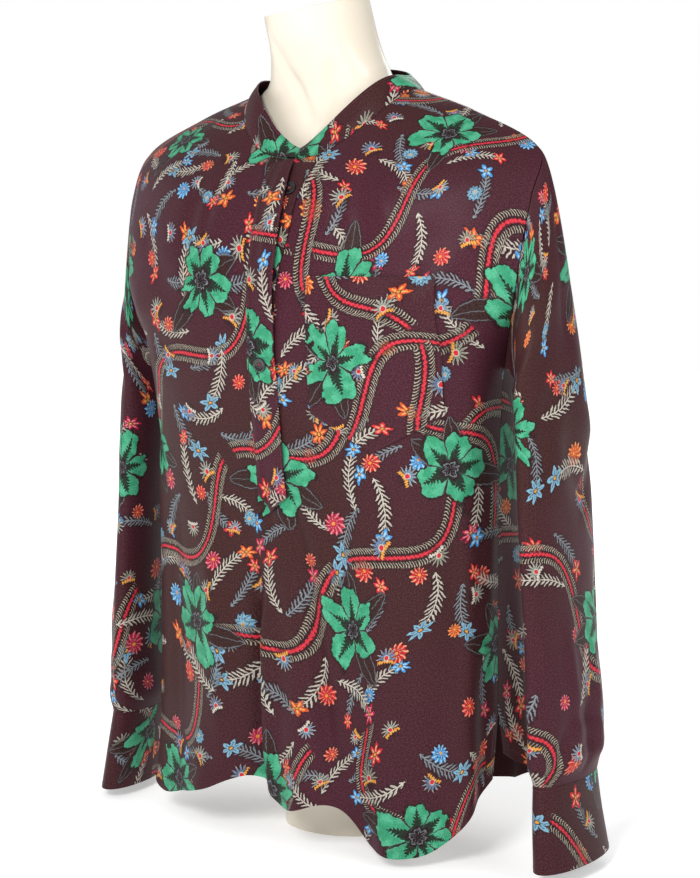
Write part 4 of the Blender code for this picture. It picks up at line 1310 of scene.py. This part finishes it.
def lay_blossom(paint, u, v, seed, wide, high, size):
    """Large green blossoms: fringed petals with jagged dark veins, an eye, and brown leaves behind."""
    x, y, luck = scattered(u, v, wide, high, seed, wander=0.20)
    grain = cloud(x + luck[0] * 3.0, y, 90.0, 2.0, seed) - 0.5
    lobe = cloud(x + luck[1] * 3.0, y, 30.0, 0.0, seed + 2.0) - 0.5
    for turn, long in ((0.5, 1.72), (2.3, 1.50), (3.1, 1.60)):
        along = x * math.cos(turn) + y * math.sin(turn)
        beside = (y * math.cos(turn) - x * math.sin(turn) + grain * 0.004).size()
        part = (along / (size * long)).most(0.0)
        width = ((part * (1.02 - part)).most(0.0).power(0.8)) * (size * 0.80)
        paint.lay(DARK, beside.under(width + 0.002, 0.0015) * width.over(0.0005, 0.0004) * 0.7)
        paint.lay(PALE, beside.under(width) * width.over(0.0012) * 0.5)
        paint.lay(LEAF_BROWN, beside.under(width - 0.0008))
        paint.lay(PALE, beside.under(0.00035, 0.0002) * width.over(0.001) * 0.45)
    x = x + luck[1] * size * 0.2
    y = y * (luck[2] * 0.25 + 1.0)
    radius, angle = polar(x, y)
    petals = (luck[0] * 2).floor() + 5
    place = (angle + (angle + luck[1] * 6.0).sine() * 0.24 + grain * 0.14) * petals / TAU
    split = place.zigzag()
    across = split * radius * TAU / petals
    slit = (0.5 - split) * radius * TAU / petals
    scallop = (place * (3 * TAU)).cosine() * 0.040 + (angle * 37).sine() * 0.010
    long = (split * 2).power(3.0) * -0.46 + 1.0 + scallop + grain * 0.34 + lobe * 0.9
    edge = long * size
    paint.lay(DARK, radius.under(edge + 0.0028, 0.0014) * 0.9)
    bloom = radius.under(edge)
    paint.lay(GREEN, bloom)
    paint.lay(GREEN_PALE, bloom * grain.over(0.02, 0.10) * 0.7)
    outward = radius / edge
    jag = ((radius - across * 0.9) / 0.0036).zigzag() * 2
    vein = (0.90 - outward).most(0.0) * 0.0140 * (jag * 0.8 + 0.2) + grain * 0.0020
    paint.lay(GREEN_DARK, across.under(vein, 0.0003) * bloom)
    jag_round = ((angle * 5.5 + grain * 5.0).sine().size())
    paint.lay(GREEN_DARK, outward.under(jag_round * 0.13 + 0.36, 0.02) * bloom)
    cut = slit.under(outward * 0.0011, 0.0003) * outward.over(0.42, 0.05)
    paint.lay(PALE, slit.under(outward * 0.0017, 0.0004) * outward.over(0.42, 0.05) * bloom * 0.5)
    paint.lay(GREEN_DARK, cut * bloom)
    paint.lay(DARK, outward.under(grain * 0.1 + 0.32, 0.02))
    ray = (angle * (9 / TAU) + grain * 0.8).zigzag()
    ring = (outward - 0.24 + ray * 0.10 + grain * 0.06).size()
    paint.lay(PALE, ring.under(0.012, 0.008) * 0.9)
    paint.lay(PALE, ray.under(0.05, 0.04) * outward.under(0.22, 0.01) * outward.over(0.07, 0.01) * 0.7)


def print_paint(u, v, whole):
    """The print, painted on the cut from the ground up over broad patches of painted shade. The inside
    shows only its largest shapes.
    """
    paint = Paint(u.tree, PLUM)
    # Broad soft patches of the brown copy of the ground: painted shade on the silk.
    paint.lay(PAINTED_SHADE_BROWN, cloud(u, v, 3.2, 1.0, 5.0).over(0.5, 0.14))
    warp = cloud(u, v, 7.0, 0.0, 11.0) - 0.5
    rough = cloud(u, v, HAND_SCALE, 1.0, 2.0) - 0.5
    rough_too = cloud(u, v, HAND_SCALE, 1.0, 7.0) - 0.5
    u = u + warp * 0.030 + rough * HAND_SWAY
    v = v - warp * 0.026 + rough_too * HAND_SWAY
    if whole:
        lay_sprig(paint, u, v, 1.0, 0.084, 0.062, 0.0088, 0.80, CREAM, 9.0)
        lay_sprig(paint, u + 0.037, v + 0.029, 4.0, 0.078, 0.054, 0.0080, 0.72, PALE, -8.0)
        lay_bloom(paint, u + 0.013, v + 0.041, 9.0, 0.060, 0.0075, 0.0120, 0.62)
    lay_meander(paint, u, v, 0.62, 0.136, 0.190, 0.026, 13.0, 0.80)
    lay_meander(paint, u, v, -0.95, 0.240, 0.170, 0.024, 17.0, 0.40)
    if whole:
        lay_sprig(paint, u + 0.011, v + 0.052, 33.0, 0.100, 0.066, 0.0092, 0.55, CREAM, 7.0)
        lay_spikes(paint, u + 0.049, v + 0.017, 21.0, 0.058, 0.0085, 0.0120, 0.68)
    lay_blossom(paint, u, v, 25.0, 0.178, 0.170, 0.0360)
    weave = cloud(u, v, WEAVE_SCALE, 1.0, 4.0)
    paint.lay(DARK, weave.over(0.52, 0.22) * 0.34)
    paint.lay(WEAVE_LIGHT, weave.under(0.42, 0.20) * 0.07)
    return paint


def new_look(name, values):
    """A new material with some of its shader's values. Returns it with its tree and shader."""
    look = bpy.data.materials.new(name)
    look.use_nodes = True
    shader = look.node_tree.nodes["Principled BSDF"]
    set_inputs(look.node_tree, shader, values)
    return look, look.node_tree, shader


def add_bump(tree, shader, height, distance, strength):
    bump = add_node(tree, "Bump", {"Height": height, "Distance": distance, "Strength": strength})
    tree.links.new(bump.outputs[0], shader.inputs["Normal"])


def silk(inside):
    """Printed silk with a fine twill, soft creasing and a low sheen; the inside is dull and dark."""
    name = "silk_inside" if inside else "silk_print"
    if name in bpy.data.materials:
        return bpy.data.materials[name]
    look, tree, shader = new_look(name, {
        "Sheen Weight": 0.01 if inside else 0.03,
        "Sheen Roughness": 0.35,
        "Sheen Tint": SHEEN_TINT,
        "Specular IOR Level": 0.05 if inside else 0.10,
        "Roughness": 0.62 if inside else 0.46,
    })
    cut = add_node(tree, "UVMap", {}, uv_map="cloth").outputs[0]
    apart = add_node(tree, "SeparateXYZ", {0: cut})
    u, v = Field(tree, apart.outputs[0]), Field(tree, apart.outputs[1])
    paint = print_paint(u, v, not inside)
    if inside:
        paint.lay(INSIDE, INSIDE_SHARE)
    set_inputs(tree, shader, {"Base Color": paint.colour})
    twill = ((u + v) * (TAU / TWILL_PITCH)).sine() * TWILL_HEIGHT
    ripple = cloud(u, v * 0.6, 15.0, 1.0) * RIPPLE_HEIGHT + cloud(u, v, 60.0, 2.0) * GRAIN_HEIGHT
    add_bump(tree, shader, twill + ripple, 1.0, 0.55)
    return look


def plain_look(name, colour, roughness, coat=0.0, specular=0.5):
    look, _, _ = new_look(name, {
        "Base Color": colour,
        "Roughness": roughness,
        "Coat Weight": coat,
        "Coat Roughness": 0.12,
        "Specular IOR Level": specular,
    })
    return look


def form_look():
    """Cream gloss with a faint grain."""
    look = plain_look("form_cream", shade(222, 212, 194), 0.34, coat=0.30)
    tree = look.node_tree
    place = add_node(tree, "TexCoord", {}).outputs["Object"]
    noise = add_node(tree, "TexNoise", {"Scale": 60.0, "Detail": 3.0, "Vector": place})
    add_bump(tree, tree.nodes["Principled BSDF"], noise.outputs["Fac"], 0.0002, 0.5)
    return look


def make_camera():
    camera = bpy.data.cameras.new("camera")
    camera.sensor_width = SENSOR_WIDTH
    camera.lens = FOCAL_PIXELS / FRAME_HEIGHT_PIXELS * SENSOR_WIDTH
    made = add_object("camera", camera)
    sine, cosine = math.sin(CAMERA_TURN), math.cos(CAMERA_TURN)
    made.location = (
        CAMERA_SIDEWAYS * cosine + sine * CAMERA_DISTANCE,
        CAMERA_SIDEWAYS * sine - cosine * CAMERA_DISTANCE,
        CAMERA_HEIGHT,
    )
    made.rotation_euler = (math.pi / 2 - CAMERA_PITCH, 0, CAMERA_TURN)
    bpy.context.scene.camera = made


Light = namedtuple("Light", "name x y z size power")
LIGHTS = (
    Light("key", 0.7, -2.7, 2.0, 0.9, 66),
    Light("side", 3.0, -0.9, 1.5, 1.2, 20),
    Light("left", -2.8, -0.2, 1.4, 1.2, 5),
    Light("rear", -0.8, 2.8, 2.2, 1.6, 24),
)
# The brightness of the surround as it lights the scene, and of the floor near by and far off.
SURROUND = 0.48
FLOOR_GLOW_NEAR = 0.40
FLOOR_GLOW_FAR = 0.80
FLOOR_NEAR = 0.15
FLOOR_FAR = 1.1
LIGHTS_AIM = Vector((0.0, 0.0, 0.42))


def make_stage():
    """A white floor that brightens into a white surround, and large soft lights."""
    bpy.ops.mesh.primitive_plane_add(size=2 * FLOOR_HALF)
    floor = bpy.context.object
    floor.name = "floor"
    look = plain_look("floor_look", (0.86, 0.86, 0.86, 1), 0.9, specular=0.0)
    tree = look.node_tree
    place = add_node(tree, "TexCoord", {}).outputs["Object"]
    away = add_node(tree, "VectorMath", {0: place}, operation="LENGTH").outputs["Value"]
    glow = add_node(tree, "MapRange", {
        "Value": away,
        "From Min": FLOOR_NEAR,
        "From Max": FLOOR_FAR,
        "To Min": FLOOR_GLOW_NEAR,
        "To Max": FLOOR_GLOW_FAR,
    }, interpolation_type="SMOOTHSTEP")
    values = {"Emission Color": (1, 1, 1, 1), "Emission Strength": glow.outputs[0]}
    set_inputs(tree, tree.nodes["Principled BSDF"], values)
    floor.data.materials.append(look)
    for light in LIGHTS:
        lamp = bpy.data.lights.new(light.name, "AREA")
        lamp.size = light.size
        lamp.energy = light.power
        made = add_object(light.name, lamp)
        made.location = (light.x, light.y, light.z)
        made.rotation_euler = (LIGHTS_AIM - made.location).to_track_quat("-Z", "Y").to_euler()
    world = bpy.data.worlds.new("studio")
    world.use_nodes = True
    tree = world.node_tree
    seen = add_node(tree, "LightPath", {}).outputs["Is Camera Ray"]
    level = add_node(tree, "MapRange", {"Value": seen, "To Min": SURROUND, "To Max": 1.0})
    set_inputs(tree, tree.nodes["Background"], {"Color": (1, 1, 1, 1), "Strength": level.outputs[0]})
    bpy.context.scene.world = world
    bpy.context.scene.view_settings.view_transform = "Standard"


def main():
    make_camera()
    make_stage()
    front, back = make_body()
    lines = body_lines(front, back)
    lines += make_sleeve(front, back, "left", 1, LEFT_SLEEVE, LEFT_CUFF, LEFT_CREASES)
    lines += make_sleeve(front, back, "right", -1, RIGHT_SLEEVE, RIGHT_CUFF, RIGHT_CREASES)
    lines += make_collar()
    lines += make_plackets(front)
    lines += make_pocket(front)
    thread = plain_look("thread", shade(104, 58, 70), 0.6)
    make_stitches(lines, thread)
    button_look = plain_look("button_black", shade(22, 20, 22), 0.22, coat=0.4)
    thread_look = plain_look("button_thread", shade(120, 52, 48), 0.7)
    make_buttons(front, button_look, thread_look)
    make_form(form_look())


main()
